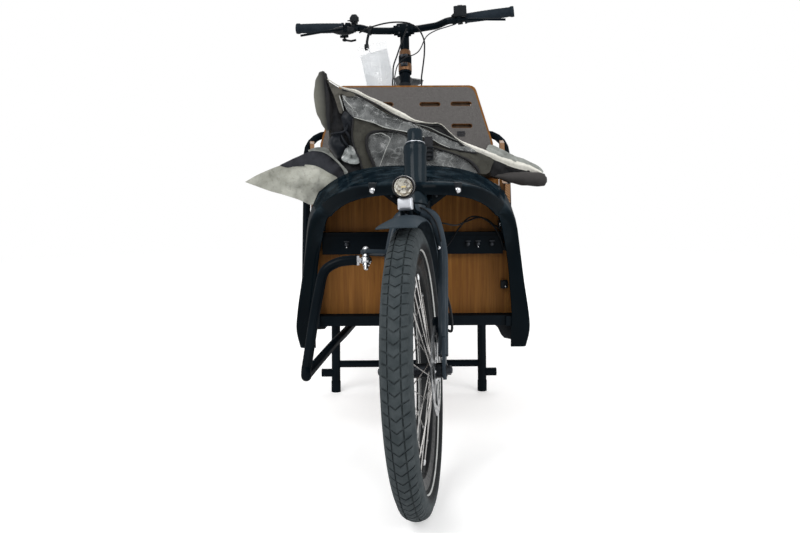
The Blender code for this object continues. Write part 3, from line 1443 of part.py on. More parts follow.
def centre_stand():
    foot_top = 0.030
    legs = []
    for hand in (-1, 1):
        x = hand * STAND_X
        pivot = Vector((x, STAND_PIVOT_Y, STAND_PIVOT_Z))
        foot = Vector((x, STAND_FOOT_Y, 0.018))
        lean = (pivot - foot).normalized()
        legs.append(cylinder(foot, pivot - lean * 0.006, STAND_TUBE_R, 12))
        legs.append(
            cylinder(pivot - Vector((STAND_EYE_HALF, 0, 0)), pivot + Vector((STAND_EYE_HALF, 0, 0)),
                     STAND_TUBE_R, 14)
        )
        legs.append(cylinder((x, STAND_FOOT_Y, 0), (x, STAND_FOOT_Y, foot_top), STAND_FOOT_R, 16))
        share = STAND_PEG_Z / STAND_PIVOT_Z
        peg_y = STAND_FOOT_Y + share * (STAND_PIVOT_Y - STAND_FOOT_Y)
        peg_end = (hand * STAND_PEG_END_X, peg_y, STAND_PEG_Z)
        legs.append(cylinder((x, peg_y, STAND_PEG_Z), peg_end, 0.0115, 12))
    share = STAND_ROD_Z / STAND_PIVOT_Z
    rod_y = STAND_FOOT_Y + share * (STAND_PIVOT_Y - STAND_FOOT_Y)
    legs.append(cylinder((-STAND_X, rod_y, STAND_ROD_Z), (STAND_X, rod_y, STAND_ROD_Z), 0.010, 12))
    cutters = []
    for hand in (-1, 1):
        x = hand * STAND_X
        cutters.append(
            cylinder((x - 0.03, STAND_PIVOT_Y, STAND_PIVOT_Z), (x + 0.03, STAND_PIVOT_Y, STAND_PIVOT_Z),
                     STAND_PIN_R + GAP, 12)
        )
        for inner in (-1, 1):
            face = x + inner * STAND_EYE_HALF
            out = x + inner * 0.03
            cutters.append(
                box((min(face, out), STAND_PIVOT_Y - 0.03, STAND_PIVOT_Z - 0.018),
                    (max(face, out), STAND_PIVOT_Y + 0.03, STAND_PIVOT_Z + 0.03))
            )
    place(cut(joined(*legs), *cutters), "centre_stand", black_paint(), "stand")


def sprocket(centre, teeth, x, half, bore):
    """A chain wheel: round roots at the pitch circle and a tooth between them."""
    pitch_r = PITCH / 2 / math.sin(math.pi / teeth)
    outline = []
    for i in range(teeth):
        for share, radius in ((0.0, pitch_r - 0.0035), (0.5, pitch_r - 0.0006)):
            angle = 2 * math.pi * (i + share) / teeth
            outline.append((radius * math.sin(angle), radius * math.cos(angle)))
    turn = Matrix(((0, 0, 1, x), (1, 0, 0, centre.y), (0, 1, 0, centre.z), (0, 0, 0, 1)))
    holes = [ring_of(bore, 24)]
    return plate([outline, *holes], 2 * half, turn), pitch_r


def drive():
    """Motor unit with the crank's bore, cranks with chain wheel, pedals and chain."""
    motor = side_plate(
        [rounded([
            (CRANK_Y - 0.085, CRANK_Z - 0.048),
            (CRANK_Y + 0.050, CRANK_Z - 0.050),
            (CRANK_Y + 0.078, CRANK_Z - 0.005),
            (CRANK_Y + 0.062, MOTOR_TOP_Z),
            (CRANK_Y - 0.080, MOTOR_TOP_Z),
            (CRANK_Y - 0.098, CRANK_Z + 0.010),
        ], 0.022)],
        -MOTOR_HALF,
        MOTOR_HALF,
    )
    bore = cylinder((-0.06, CRANK_Y, CRANK_Z), (0.06, CRANK_Y, CRANK_Z), SPINDLE_R + RUN, 20)
    place(cut(motor, bore), "motor_unit", black_plastic())

    ring, ring_r = sprocket(CRANK, RING_TEETH, -CHAIN_X, 0.0012, 0.0590)
    arm_in = 0.078
    arm_out = 0.089
    pieces = [cylinder((-arm_out, CRANK_Y, CRANK_Z), (arm_out, CRANK_Y, CRANK_Z), SPINDLE_R, 16)]
    for i in range(5):
        angle = math.radians(72 * i + 18)
        tip = Vector((-CHAIN_X, CRANK_Y + 0.061 * math.cos(angle), CRANK_Z + 0.061 * math.sin(angle)))
        pieces.append(cylinder((-CHAIN_X, CRANK_Y, CRANK_Z), tip, 0.0035, 8))
    pieces.append(
        cylinder((-CHAIN_X - 0.004, CRANK_Y, CRANK_Z), (-CHAIN_X + 0.004, CRANK_Y, CRANK_Z), 0.018, 20)
    )
    for hand, pedal in ((1, PEDAL_LEFT), (-1, PEDAL_RIGHT)):
        outline = capsule((CRANK_Y, CRANK_Z), 0.017, (pedal.y, pedal.z), 0.012)
        pieces.append(side_plate([outline], *sorted((hand * arm_in, hand * arm_out))))
        pin_end = (hand * 0.165, pedal.y, pedal.z)
        pieces.append(cylinder((hand * (arm_in + 0.002), pedal.y, pedal.z), pin_end, 0.0045, 12))
    place(joined(ring, *pieces), "crankset", black_paint(), "crank")

    for side, hand, pedal in (("left", 1, PEDAL_LEFT), ("right", -1, PEDAL_RIGHT)):
        ends = sorted((hand * (arm_out + 0.0025), hand * (arm_out + 0.085)))
        corner = Vector((0, 0.040, 0.010))
        first = Vector((ends[0], pedal.y, pedal.z))
        last = Vector((ends[1], pedal.y, pedal.z))
        body = box(first - corner, last + corner, 0.004)
        windows = [
            box(first + Vector((0.014, low, -0.02)), last + Vector((-0.014, high, 0.02)))
            for low, high in ((-0.031, -0.012), (0.012, 0.031))
        ]
        bore = cylinder(first - ACROSS * 0.01, last + ACROSS * 0.01, 0.0045 + RUN, 12)
        place(cut(body, bore, *windows), "pedal_" + side, black_plastic(), "pedal_" + side)

    # The chain is a closed band round both chain wheels, just outside their teeth.
    cog_r = PITCH / 2 / math.sin(math.pi / COG_TEETH)
    bands = []
    for extra in (0.0065, RUN):
        bands.append(
            capsule((CRANK_Y, CRANK_Z), ring_r + extra, (REAR_AXLE.y, REAR_AXLE.z), cog_r + extra, 14)
        )
    place(side_plate(bands, -CHAIN_X - CHAIN_HALF, -CHAIN_X + CHAIN_HALF), "chain", steel())

    guard = []
    for extra in (0.014, -0.004):
        guard.append(
            capsule((CRANK_Y, CRANK_Z), ring_r + extra, (REAR_AXLE.y - 0.05, REAR_AXLE.z), cog_r + extra, 12)
        )
    shell = side_plate(guard, -CHAIN_X - 0.0095, -CHAIN_X - 0.0070)
    # It is open below a line just under the chain's upper run.
    cut_front = CRANK_Y - 0.22
    cut_rear = WHEELBASE + 0.14
    below = [(cut_front, 0), (cut_rear, 0), (cut_rear, REAR_R + 0.027), (cut_front, CRANK_Z + 0.074)]
    lower = side_plate([below], -CHAIN_X - 0.024, -CHAIN_X + 0.006)
    stay_y = WHEELBASE - 0.194
    stay = chain_stay_point(stay_y)
    foot_z = stay.z + 0.004
    foot_end = (-stay.x - STAY_R - GAP, stay_y, foot_z)
    foot = cylinder((-CHAIN_X - 0.0085, stay_y, foot_z), foot_end, 0.004, 10)
    share = (stay_y - CRANK_Y) / (REAR_AXLE.y - 0.05 - CRANK_Y)
    run_z = CRANK_Z + ring_r + share * (REAR_R + cog_r - CRANK_Z - ring_r)
    drop = box(
        (-CHAIN_X - 0.0093, stay_y - 0.006, stay.z), (-CHAIN_X - 0.0072, stay_y + 0.006, run_z + 0.006)
    )
    place(joined(cut(shell, lower), foot, drop), "chain_guard", black_plastic())


def chain_stay_point(y):
    """The stay's centre line between its last two corners."""
    (x_a, y_a, z_a), (x_b, y_b, z_b) = STAY_CORNERS[1:]
    share = (y - y_a) / (y_b - y_a)
    return Vector((x_a + share * (x_b - x_a), y, z_a + share * (z_b - z_a)))


def rear_frame():
    """Chain stays with the rear axle, seat stays, and the seat tube with its link to the column."""
    inner = REAR_HUB_W / 2
    outer = inner + DROPOUT_THICK
    yoke_y = BEAM_TAIL_Y + GAP
    pieces = [box((-0.040, yoke_y, 0.338), (0.040, yoke_y + 0.016, BEAM_TAIL_Z + 0.012), 0.003)]
    for hand in (-1, 1):
        corners = [(hand * 0.030, yoke_y + 0.010, 0.354), *[(hand * x, y, z) for x, y, z in STAY_CORNERS]]
        pieces.append(tube(filleted(corners, 0.05, 3), STAY_R))
        offsets = [(-0.035, -0.007), (0, -0.017), (0.012, 0), (0, 0.017), (-0.035, 0.009)]
        tab = [(WHEELBASE + y, REAR_R + z) for y, z in offsets]
        pieces.append(side_plate([tab], *sorted((hand * inner, hand * outer))))
        nut_end = (hand * (outer + 0.008), *REAR_AXLE.yz)
        pieces.append(cylinder((hand * (outer - 0.001), *REAR_AXLE.yz), nut_end, 0.009, 6))
    pieces.append(cylinder((-outer, *REAR_AXLE.yz), (outer, *REAR_AXLE.yz), AXLE_R))
    place(joined(*pieces), "chain_stays", black_paint())

    foot = seat_at(BEAM_TAIL_Z + BEAM_TAIL_R + 0.0072)
    seat_top = seat_at(SEAT_TUBE_TOP_Z)
    seat_tube = cylinder(foot, seat_top, SEAT_TUBE_R, 20)
    link = cylinder(axis_at(REAR_FOOT_Y, 0.55) + Vector((0, 0.01, 0)), seat_at(0.50), 0.0155, 16)
    round_column = cylinder(
        axis_at(REAR_FOOT_Y, 0.40), axis_at(REAR_FOOT_Y, 0.70), COLUMN_TUBE_R + GAP, 24
    )
    post_bore = cylinder(foot - SEAT_UP * 0.02, seat_top + SEAT_UP * 0.02, SEAT_POST_R + GAP, 20)
    place(cut(joined(seat_tube, link), round_column, post_bore), "seat_tube", black_paint())

    bridge = seat_at(0.650) + Vector((0, 0.0338, 0))
    front = seat_at(bridge.z) + Vector((0, SEAT_TUBE_R / SEAT_UP.z + GAP, 0))
    stays = [cylinder((-0.046, bridge.y, bridge.z), (0.046, bridge.y, bridge.z), 0.008, 12)]
    stays.append(box((-0.012, front.y + 0.0030, bridge.z - 0.007), (0.012, bridge.y, bridge.z + 0.007)))
    for hand in (-1, 1):
        corners = [
            (hand * 0.040, bridge.y, bridge.z),
            (hand * 0.048, bridge.y + 0.033, bridge.z - 0.038),
            (hand * 0.0775, WHEELBASE - 0.010, REAR_R + 0.031),
        ]
        stays.append(tube(filleted(corners, 0.03, 3), 0.0075))
        offsets = [(-0.020, 0.040), (-0.022, 0.015), (-0.008, 0.010), (0.008, 0.015), (0.006, 0.040)]
        eye = [(WHEELBASE + y, REAR_R + z) for y, z in offsets]
        stays.append(side_plate([eye], *sorted((hand * (outer + 0.0086), hand * (outer + 0.0125)))))
    reach = REAR_AXLE - bridge
    seat = REAR_AXLE - reach.normalized() * REAR_FENDER_R
    stays.append(cylinder(bridge, seat, 0.007, 10))
    stay_body = cut(joined(*stays), rear_fender_arc(FENDER_SEAT_DEEP))
    place(stay_body, "seat_stays", black_paint())


def rear_rack():
    """A tube rack with a flat deck, its legs standing on the stays' ends; the battery hangs under it."""
    front_middle = (0, RACK_FRONT_Y, RACK_Z)
    corners = [
        front_middle,
        (RACK_HALF, RACK_FRONT_Y, RACK_Z),
        (RACK_HALF, RACK_REAR_Y, RACK_Z),
        (-RACK_HALF, RACK_REAR_Y, RACK_Z),
        (-RACK_HALF, RACK_FRONT_Y, RACK_Z),
        front_middle,
    ]
    rails = [tube(filleted(corners, 0.03)[:-1], RACK_RAIL_R, loop=True)]
    for hand in (-1, 1):
        foot_x = REAR_HUB_W / 2 + DROPOUT_THICK + 0.0125 + GAP + RACK_RAIL_R
        leg = [
            (hand * RACK_HALF, WHEELBASE, RACK_Z),
            (hand * (foot_x - 0.004), WHEELBASE, RACK_Z - 0.085),
            (hand * foot_x, WHEELBASE - 0.007, REAR_R + 0.027),
        ]
        rails.append(tube(filleted(leg, 0.05, 3), RACK_RAIL_R))
    deck = box(
        (-RACK_HALF, RACK_FRONT_Y + 0.03, RACK_Z - 0.001),
        (RACK_HALF, RACK_REAR_Y - 0.03, RACK_Z + RACK_RAIL_R + 0.001),
    )
    windows = [
        box((-0.048, y, RACK_Z - 0.02), (0.048, y + 0.020, RACK_Z + 0.02))
        for y in (RACK_FRONT_Y + 0.055, RACK_REAR_Y - 0.075)
    ]
    place(joined(cut(deck, *windows), *rails), "rear_rack", black_paint())
    top = RACK_Z - 0.001 - GAP
    low = (-0.045, RACK_FRONT_Y + 0.035, top - BATTERY_TALL)
    pack = box(low, (0.045, RACK_REAR_Y - 0.035, top), 0.006)
    place(pack, "battery", black_plastic())


def saddle():
    """Sections from nose to tail, lofted: narrow and round in front, wide and flat behind."""
    stations = [
        (-0.165, 0.008, 0.012, SADDLE_UNDER + 0.018),
        (-0.158, 0.018, 0.020, SADDLE_UNDER + 0.022),
        (-0.110, 0.024, 0.024, SADDLE_UNDER + 0.024),
        (-0.040, 0.036, 0.024, SADDLE_UNDER + 0.024),
        (0.030, 0.066, 0.026, SADDLE_UNDER + 0.027),
        (0.080, 0.078, 0.028, SADDLE_UNDER + 0.031),
        (0.105, 0.060, 0.022, SADDLE_UNDER + 0.029),
        (0.112, 0.030, 0.012, SADDLE_UNDER + 0.025),
    ]
    base = Vector((0, *SADDLE_CLAMP))
    around = 12
    shape = bmesh.new()
    rings = []
    for y, half, tall, top in stations:
        ring = []
        for i in range(around):
            angle = 2 * math.pi * i / around
            bulge = math.sin(angle)
            z = top + (0.35 * tall * bulge if bulge > 0 else tall * bulge)
            ring.append(shape.verts.new(base + Vector((half * math.cos(angle), y, z))))
        rings.append(ring)
    for first, second in zip(rings, rings[1:]):
        for i in range(around):
            shape.faces.new((first[i], first[(i + 1) % around], second[(i + 1) % around], second[i]))
    shape.faces.new(rings[0])
    shape.faces.new(rings[-1])
    bmesh.ops.recalc_face_normals(shape, faces=shape.faces)
    place(from_bmesh(shape), "saddle", material("saddle", (0.02, 0.02, 0.02), 0.6), "seat")
    top = seat_at(base.z - 0.004)
    post = cylinder(seat_at(0.540), top, SEAT_POST_R, 20)
    rail = base + Vector((0, 0, SADDLE_UNDER - GAP - SADDLE_RAIL_R))
    clamp = box(top + Vector((-0.020, -0.022, -0.008)), rail + Vector((0.020, 0.022, -0.001)), 0.003)
    rails = cylinder(rail + Vector((0, -0.075, 0)), rail + Vector((0, 0.055, 0)), SADDLE_RAIL_R, 8)
    place(joined(post, clamp, rails), "seat_post", black_paint(), "seat")


def wheels():
    tyre(FRONT_AXLE, FRONT_R, FRONT_TYRE_W, FRONT_SEAT_R, "front_tyre", "front_wheel")
    laced_wheel(FRONT_AXLE, FRONT_SEAT_R, FRONT_HUB_W, "front_wheel", "front_wheel")
    rotor(FRONT_AXLE, FRONT_ROTOR_R, FRONT_ROTOR_X, "front_rotor", "front_wheel")
    tyre(REAR_AXLE, REAR_R, REAR_TYRE_W, REAR_SEAT_R, "rear_tyre", "rear_wheel")
    cog, _ = sprocket(REAR_AXLE, COG_TEETH, -CHAIN_X, 0.0012, HUB_R - 0.003)
    disc = turned_round_x(
        [
            (REAR_ROTOR_R, REAR_ROTOR_X - ROTOR_THICK / 2),
            (REAR_ROTOR_R, REAR_ROTOR_X + ROTOR_THICK / 2),
            (HUB_R - 0.002, REAR_ROTOR_X + ROTOR_THICK / 2),
            (HUB_R - 0.002, REAR_ROTOR_X - ROTOR_THICK / 2),
        ],
        REAR_AXLE,
        24,
    )
    laced_wheel(REAR_AXLE, REAR_SEAT_R, REAR_HUB_W, "rear_wheel", "rear_wheel", (cog, disc))


main_frame()
front_arch()
wooden_box()
box_metalwork()
rain_cover()
front_cable_loop()
fork()
fenders()
front_caliper()
headlight()
front_brake_hose()
wheels()
tie_rod()
column()
handlebar()
lever_mounts()
hand_levers()
bell_and_display()
bar_cables()
centre_stand()
drive()
rear_frame()
rear_rack()
saddle()
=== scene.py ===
"""Looks of the electric cargo bike: finishes, tread, spokes, chain, cloth, cords and small fittings.

Lengths are metres. at(x, y, z) takes a place as the part's source gives it: x to the rider's left, y from
the front axle's foot on the ground and z from the ground. What turns with the fork or the handlebar is
modelled straight ahead and then turned to rest about its steering axis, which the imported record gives.
"""

import json
from math import acos, atan2, copysign, cos, pi, radians, sin, sqrt

import bmesh
import bpy
from mathutils import Matrix, Vector, geometry, noise


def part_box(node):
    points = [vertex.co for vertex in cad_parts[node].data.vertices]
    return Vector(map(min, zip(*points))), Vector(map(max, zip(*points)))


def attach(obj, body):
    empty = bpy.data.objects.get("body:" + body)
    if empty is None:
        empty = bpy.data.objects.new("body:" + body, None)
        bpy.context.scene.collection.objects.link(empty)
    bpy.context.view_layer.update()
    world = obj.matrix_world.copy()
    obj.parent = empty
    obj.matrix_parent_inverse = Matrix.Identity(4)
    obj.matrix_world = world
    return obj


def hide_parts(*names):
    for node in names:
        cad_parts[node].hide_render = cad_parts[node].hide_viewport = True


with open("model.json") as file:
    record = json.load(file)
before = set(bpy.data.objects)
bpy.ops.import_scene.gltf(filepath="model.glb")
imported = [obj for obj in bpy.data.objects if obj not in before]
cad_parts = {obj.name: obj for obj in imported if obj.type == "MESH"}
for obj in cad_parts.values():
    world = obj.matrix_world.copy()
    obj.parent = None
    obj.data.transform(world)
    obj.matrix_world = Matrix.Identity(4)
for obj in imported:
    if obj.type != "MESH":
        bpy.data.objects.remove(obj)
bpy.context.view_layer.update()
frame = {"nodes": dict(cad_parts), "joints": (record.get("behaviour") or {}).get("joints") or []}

NODES = frame["nodes"]
JOINTS = {joint["name"]: joint for joint in frame["joints"]}
# The frame's origin, from the front axle's foot, and the floor's own light near the bike.
MID_Y = 1.029
FLOOR_GLOW = 0.3
UP = Vector(JOINTS["fork_steer"]["axis"]).normalized()
ACROSS = Vector((1, 0, 0))
AHEAD = ACROSS.cross(UP)
REST_TURN = ACROSS.rotation_difference(Vector(JOINTS["front_wheel_spin"]["axis"]))


def at(x, y, z):
    return Vector((x, y - MID_Y, z))


def steering_rest(joint):
    """The turn from straight ahead to the rest pose, about the axis of a steering joint."""
    pivot = Vector(JOINTS[joint]["pos_m"])
    return Matrix.Translation(pivot) @ REST_TURN.to_matrix().to_4x4() @ Matrix.Translation(-pivot)


def on_axis(foot_y, z, ahead=0.0):
    """A point of a steering axis at height z, or ahead of it."""
    return at(0, foot_y, 0) + UP * (z / UP.z) + AHEAD * ahead


FORK_REST = steering_rest("fork_steer")
BAR_REST = steering_rest("handlebar_steer")
STEERED = {"fork": FORK_REST, "front_wheel": FORK_REST, "handlebars": BAR_REST}
FRONT_FOOT_Y = -0.05
REAR_FOOT_Y = 0.998
FRONT_AXLE = at(0, 0, 0.26)
REAR_AXLE = Vector(JOINTS["rear_wheel_spin"]["pos_m"])
CRANK = Vector(JOINTS["crank_spin"]["pos_m"])
# TO_AXLE turns an outline of (y, z) to stand across the bike, FRONT_VIEW one of (x, z) to face the front.
TO_AXLE = Matrix(((0, 0, 1, 0), (1, 0, 0, 0), (0, 1, 0, 0), (0, 0, 0, 1)))
FRONT_VIEW = Matrix(((1, 0, 0, 0), (0, 0, -1, 0), (0, 1, 0, 0), (0, 0, 0, 1)))
# The tie rod's two balls, beside and ahead of the steering axes.
BALL_SIDE = 0.0925
BALL_AHEAD = 0.0217
FRONT_BALL = FORK_REST @ (at(0, FRONT_FOOT_Y, 0) + UP * 0.47404 - ACROSS * BALL_SIDE + AHEAD * BALL_AHEAD)
REAR_BALL = BAR_REST @ (at(0, REAR_FOOT_Y, 0) + UP * 0.2505 - ACROSS * BALL_SIDE + AHEAD * BALL_AHEAD)


# Camera, floor and light


def camera():
    data = bpy.data.cameras.new("camera")
    data.lens = 40.56
    data.sensor_width = 36
    data.clip_start = 0.05
    view = linked("camera", data)
    view.location = at(-0.047, -1.577, 0.62)
    view.rotation_euler = (radians(83.756), radians(0.3), radians(-0.569))
    bpy.context.scene.camera = view


def linked(name, data):
    obj = bpy.data.objects.new(name, data)
    bpy.context.scene.collection.objects.link(obj)
    return obj


def seen_by_eye(tree):
    """1 for camera, glossy and transmission rays, 0 for the rays that carry diffuse light."""
    path = tree.nodes.new("ShaderNodeLightPath")
    value = path.outputs["Is Camera Ray"]
    for other in ("Is Glossy Ray", "Is Transmission Ray"):
        most = tree.nodes.new("ShaderNodeMath")
        most.operation = "MAXIMUM"
        tree.links.new(value, most.inputs[0])
        tree.links.new(path.outputs[other], most.inputs[1])
        value = most.outputs[0]
    return value


def studio():
    scene = bpy.context.scene
    scene.view_settings.view_transform = "Standard"
    world = bpy.data.worlds.new("studio")
    scene.world = world
    world.use_nodes = True
    tree = world.node_tree
    background = tree.nodes["Background"]
    background.inputs["Color"].default_value = (1, 1, 1, 1)
    level = tree.nodes.new("ShaderNodeMapRange")
    level.inputs["To Min"].default_value = 0.72
    level.inputs["To Max"].default_value = 1.0
    tree.links.new(seen_by_eye(tree), level.inputs["Value"])
    tree.links.new(level.outputs["Result"], background.inputs["Strength"])

    bpy.ops.mesh.primitive_plane_add(size=60, location=(0, 0, 0))
    floor = bpy.context.object
    floor.name = "floor"
    look = Finish("floor", (0.86, 0.86, 0.86), 0.9, specular=0.0)
    look.set("Emission Color", (1, 1, 1, 1))
    centre = look.node("TexCoord").outputs["Object"]
    away = look.vector("LENGTH", "Value", i0=centre)
    far = look.spread(away, 0.0, 1.0, 1.5, 4.5)
    look.link(look.mix(far, (0.86, 0.86, 0.86), (0.0, 0.0, 0.0)), "Base Color")
    glow = look.spread(far, FLOOR_GLOW, 1.0, 0.0, 1.0)
    look.link(look.maths("MULTIPLY", seen_by_eye(look.tree), glow), "Emission Strength")
    floor.data.materials.append(look.material)

    for name, place, size, power in (
        ("key", (-1.9, -3.2, 3.0), 2.2, 95),
        ("fill", (2.6, -2.8, 1.8), 2.2, 60),
        ("rear", (0.5, 3.4, 3.0), 2.6, 70),
    ):
        data = bpy.data.lights.new(name, "AREA")
        data.size = size
        data.energy = power
        lamp = linked(name, data)
        lamp.location = place
        lamp.rotation_euler = (Vector((0, 0, 0.5)) - lamp.location).to_track_quat("-Z", "Y").to_euler()


# Materials


class Finish:
    """A Principled material with shorthand calls for its nodes."""

    def __init__(self, name, colour, roughness, metallic=0.0, specular=0.5, coat=0.0):
        self.material = bpy.data.materials.new(name)
        self.material.use_nodes = True
        self.tree = self.material.node_tree
        self.shader = self.tree.nodes["Principled BSDF"]
        self.set("Base Color", (*colour, 1))
        self.set("Roughness", roughness)
        self.set("Metallic", metallic)
        self.set("Specular IOR Level", specular)
        self.set("Coat Weight", coat)

    def set(self, socket, value):
        self.shader.inputs[socket].default_value = value

    def node(self, kind, settings=None, **inputs):
        """A node; i0, i1 and so on name its inputs by number, and other names have _ for a blank."""
        made = self.tree.nodes.new("ShaderNode" + kind)
        for key, value in (settings or {}).items():
            setattr(made, key, value)
        for key, value in inputs.items():
            numbered = key[0] == "i" and key[1:].isdigit()
            socket = made.inputs[int(key[1:])] if numbered else made.inputs[key.replace("_", " ")]
            if hasattr(value, "is_output"):
                self.tree.links.new(value, socket)
            else:
                socket.default_value = value
        return made

    def place(self, scale=(1, 1, 1)):
        """Object coordinates in metres, stretched."""
        return self.node("Mapping", Vector=self.node("TexCoord").outputs["Object"], Scale=scale).outputs[0]

    def grain(self, size, detail=3.0, scale=(1, 1, 1), rough=0.55):
        """Noise with features of about this size in metres, 0 to 1."""
        made = self.node("TexNoise", Vector=self.place(scale), Scale=1 / size, Detail=detail, Roughness=rough)
        return made.outputs["Fac"]

    def ramp(self, value, *stops):
        made = self.node("ValToRGB", Fac=value)
        elements = made.color_ramp.elements
        while len(elements) < len(stops):
            elements.new(0.5)
        for element, (position, colour) in zip(elements, stops):
            element.position = position
            element.color = (*colour, 1)
        return made.outputs["Color"]

    def spread(self, value, low, high, low_in=0.3, high_in=0.7):
        made = self.node("MapRange", Value=value, From_Min=low_in, From_Max=high_in, To_Min=low, To_Max=high)
        return made.outputs["Result"]

    def maths(self, operation, first, second=0.0):
        return self.node("Math", {"operation": operation}, i0=first, i1=second).outputs[0]

    def vector(self, operation, output, **inputs):
        return self.node("VectorMath", {"operation": operation}, **inputs).outputs[output]

    def mottle(self, grain, dark, light, low=0.3, high=0.7):
        """The base colour runs from dark to light over a grain."""
        self.link(self.ramp(grain, (low, dark), (high, light)), "Base Color")

    def mix(self, share, first, second):
        made = self.node("Mix", {"data_type": "RGBA"})
        for socket, value in ((made.inputs[0], share), (made.inputs[6], first), (made.inputs[7], second)):
            if hasattr(value, "is_output"):
                self.tree.links.new(value, socket)
            elif isinstance(value, tuple):
                socket.default_value = (*value, 1)
            else:
                socket.default_value = value
        return made.outputs[2]

    def link(self, value, socket):
        self.tree.links.new(value, self.shader.inputs[socket])

    def bump(self, height, depth, strength=1.0):
        """Bump of this depth in metres over the height's range; further calls add to it."""
        last = self.shader.inputs["Normal"].links
        made = self.node("Bump", Height=height, Distance=depth, Strength=strength)
        if last:
            self.tree.links.new(last[0].from_socket, made.inputs["Normal"])
        self.link(made.outputs["Normal"], "Normal")

    def normal(self, axis):
        """How far the surface faces along an axis, 0 to 1, in the object's own frame."""
        facing = self.node("TexCoord").outputs["Normal"]
        return self.maths("ABSOLUTE", self.vector("DOT_PRODUCT", "Value", i0=facing, i1=axis))


def paint(name, dark, light, roughness=0.36, coat=0.1):
    """Powder-coated tube: a slightly uneven film under a thin clear coat."""
    look = Finish(name, dark, roughness, specular=0.0, coat=coat)
    look.set("Coat Roughness", 0.6 * roughness)
    look.mottle(look.grain(0.06), dark, light)
    look.link(look.spread(look.grain(0.025, 4), roughness - 0.07, roughness + 0.1), "Roughness")
    look.bump(look.grain(0.0015, 2), 0.00005)
    return look.material


def hood_gloss(name):
    look = Finish(name, (0.002, 0.005, 0.007), 0.2, specular=0.0, coat=0.07)
    look.set("Coat Roughness", 0.1)
    flange = look.ramp(look.grain(0.11), (0.3, (0.0008, 0.0024, 0.004)), (0.7, (0.002, 0.0048, 0.0068)))
    # Faces that look upwards get lighter teal tones in patches, while the flange below stays near black: a painted
    # reflection on the hood's top.
    reflection_patches = look.grain(0.035, 3, (1, 0.5, 1))
    tones = mm("2 5.5 9, 6 12 17, 19 30 38")
    skin = look.ramp(reflection_patches, *zip((0.36, 0.52, 0.68), tones))
    upward_painted_light = look.spread(look.normal((0, 0, 1)), 0.0, 1.0, 0.1, 0.55)
    look.link(look.mix(upward_painted_light, flange, skin), "Base Color")
    look.link(look.spread(look.grain(0.03, 5), 0.12, 0.34), "Roughness")
    look.bump(look.grain(0.05, 2), 0.0007)
    look.bump(look.grain(0.0012, 1), 0.00002)
    return look.material


def plywood(name, axis, dark=0.0):
    """Brown film-faced plywood: grain runs upwards on its faces, and its edges show the layers."""
    look = Finish(name, (0.2, 0.08, 0.02), 0.5, specular=0.12)
    deep = 0.96 * (1 - dark)
    fibre = look.grain(0.01, 6, (1, 1, 0.05), 0.62)
    cloud = look.grain(0.12, 3, (1, 1, 0.4))
    streak = look.node(
        "TexWave", {"bands_direction": "X"}, Vector=look.place((1, 1, 0.06)), Scale=22, Distortion=9, Detail=4
    ).outputs["Fac"]
    pores = look.grain(0.0022, 2, (1, 1, 0.03))
    browns = mm("105 40 7.5, 195 79 14, 285 128 27, 150 55 12, 260 115 35")
    tones = [tuple(deep * part for part in brown) for brown in browns]
    face = look.ramp(fibre, *zip((0.3, 0.5, 0.72), tones))
    face = look.mix(look.spread(streak, 0.0, 0.35), face, tones[3])
    face = look.mix(look.spread(cloud, 0.0, 0.4), face, tones[4])
    face = look.mix(look.spread(pores, 0.35, 0.0, 0.3, 0.42), face, (0.06, 0.022, 0.006))
    layers = look.node(
        "TexWave", {"bands_direction": "DIAGONAL"}, Vector=look.place(), Scale=95, Distortion=0.6
    ).outputs["Fac"]
    edge = look.ramp(layers, (0.35, (0.1, 0.045, 0.018)), (0.65, (0.3, 0.17, 0.085)))
    look.link(look.mix(look.spread(look.normal(axis), 0, 1, 0.5, 0.8), edge, face), "Base Color")
    look.link(look.spread(fibre, 0.62, 0.42), "Roughness")
    look.bump(pores, 0.00012)
    look.bump(fibre, 0.00008)
    return look.material


def felt(name, dark, light, size=0.0016):
    """Pressed felt: mottled, matt and a little hairy."""
    look = Finish(name, dark, 0.95, specular=0.15)
    look.set("Sheen Weight", 0.15)
    fine = look.grain(size, 4)
    look.mottle(fine, dark, light, 0.36, 0.64)
    look.bump(fine, 0.0004)
    look.bump(look.grain(0.02, 3), 0.0006)
    return look.material


def woven(name, dark, light, stain, thread=0.0009, roughness=0.85):
    """Coated canvas: crossed threads, blotches of dirt and soft creases."""
    look = Finish(name, dark, roughness, specular=0.25)
    threads = []
    for direction in ("X", "Z"):
        wave = look.node(
            "TexWave", {"bands_direction": direction}, Vector=look.place(), Scale=0.31 / thread, Distortion=1.2
        )
        threads.append(wave.outputs["Fac"])
    weave = look.maths("MULTIPLY", *threads)
    blotch = look.grain(0.035, 6, rough=0.65)
    base = look.ramp(blotch, (0.32, dark), (0.68, light))
    base = look.mix(look.spread(look.grain(0.008, 5), 0.0, 0.55, 0.52, 0.7), base, stain)
    base = look.mix(look.spread(look.grain(0.09, 2), 0.0, 0.45, 0.5, 0.72), base, stain)
    look.link(base, "Base Color")
    look.link(look.spread(blotch, roughness - 0.12, roughness + 0.08), "Roughness")
    look.bump(weave, 0.0003)
    look.bump(look.grain(0.014, 3), 0.0012)
    return look.material


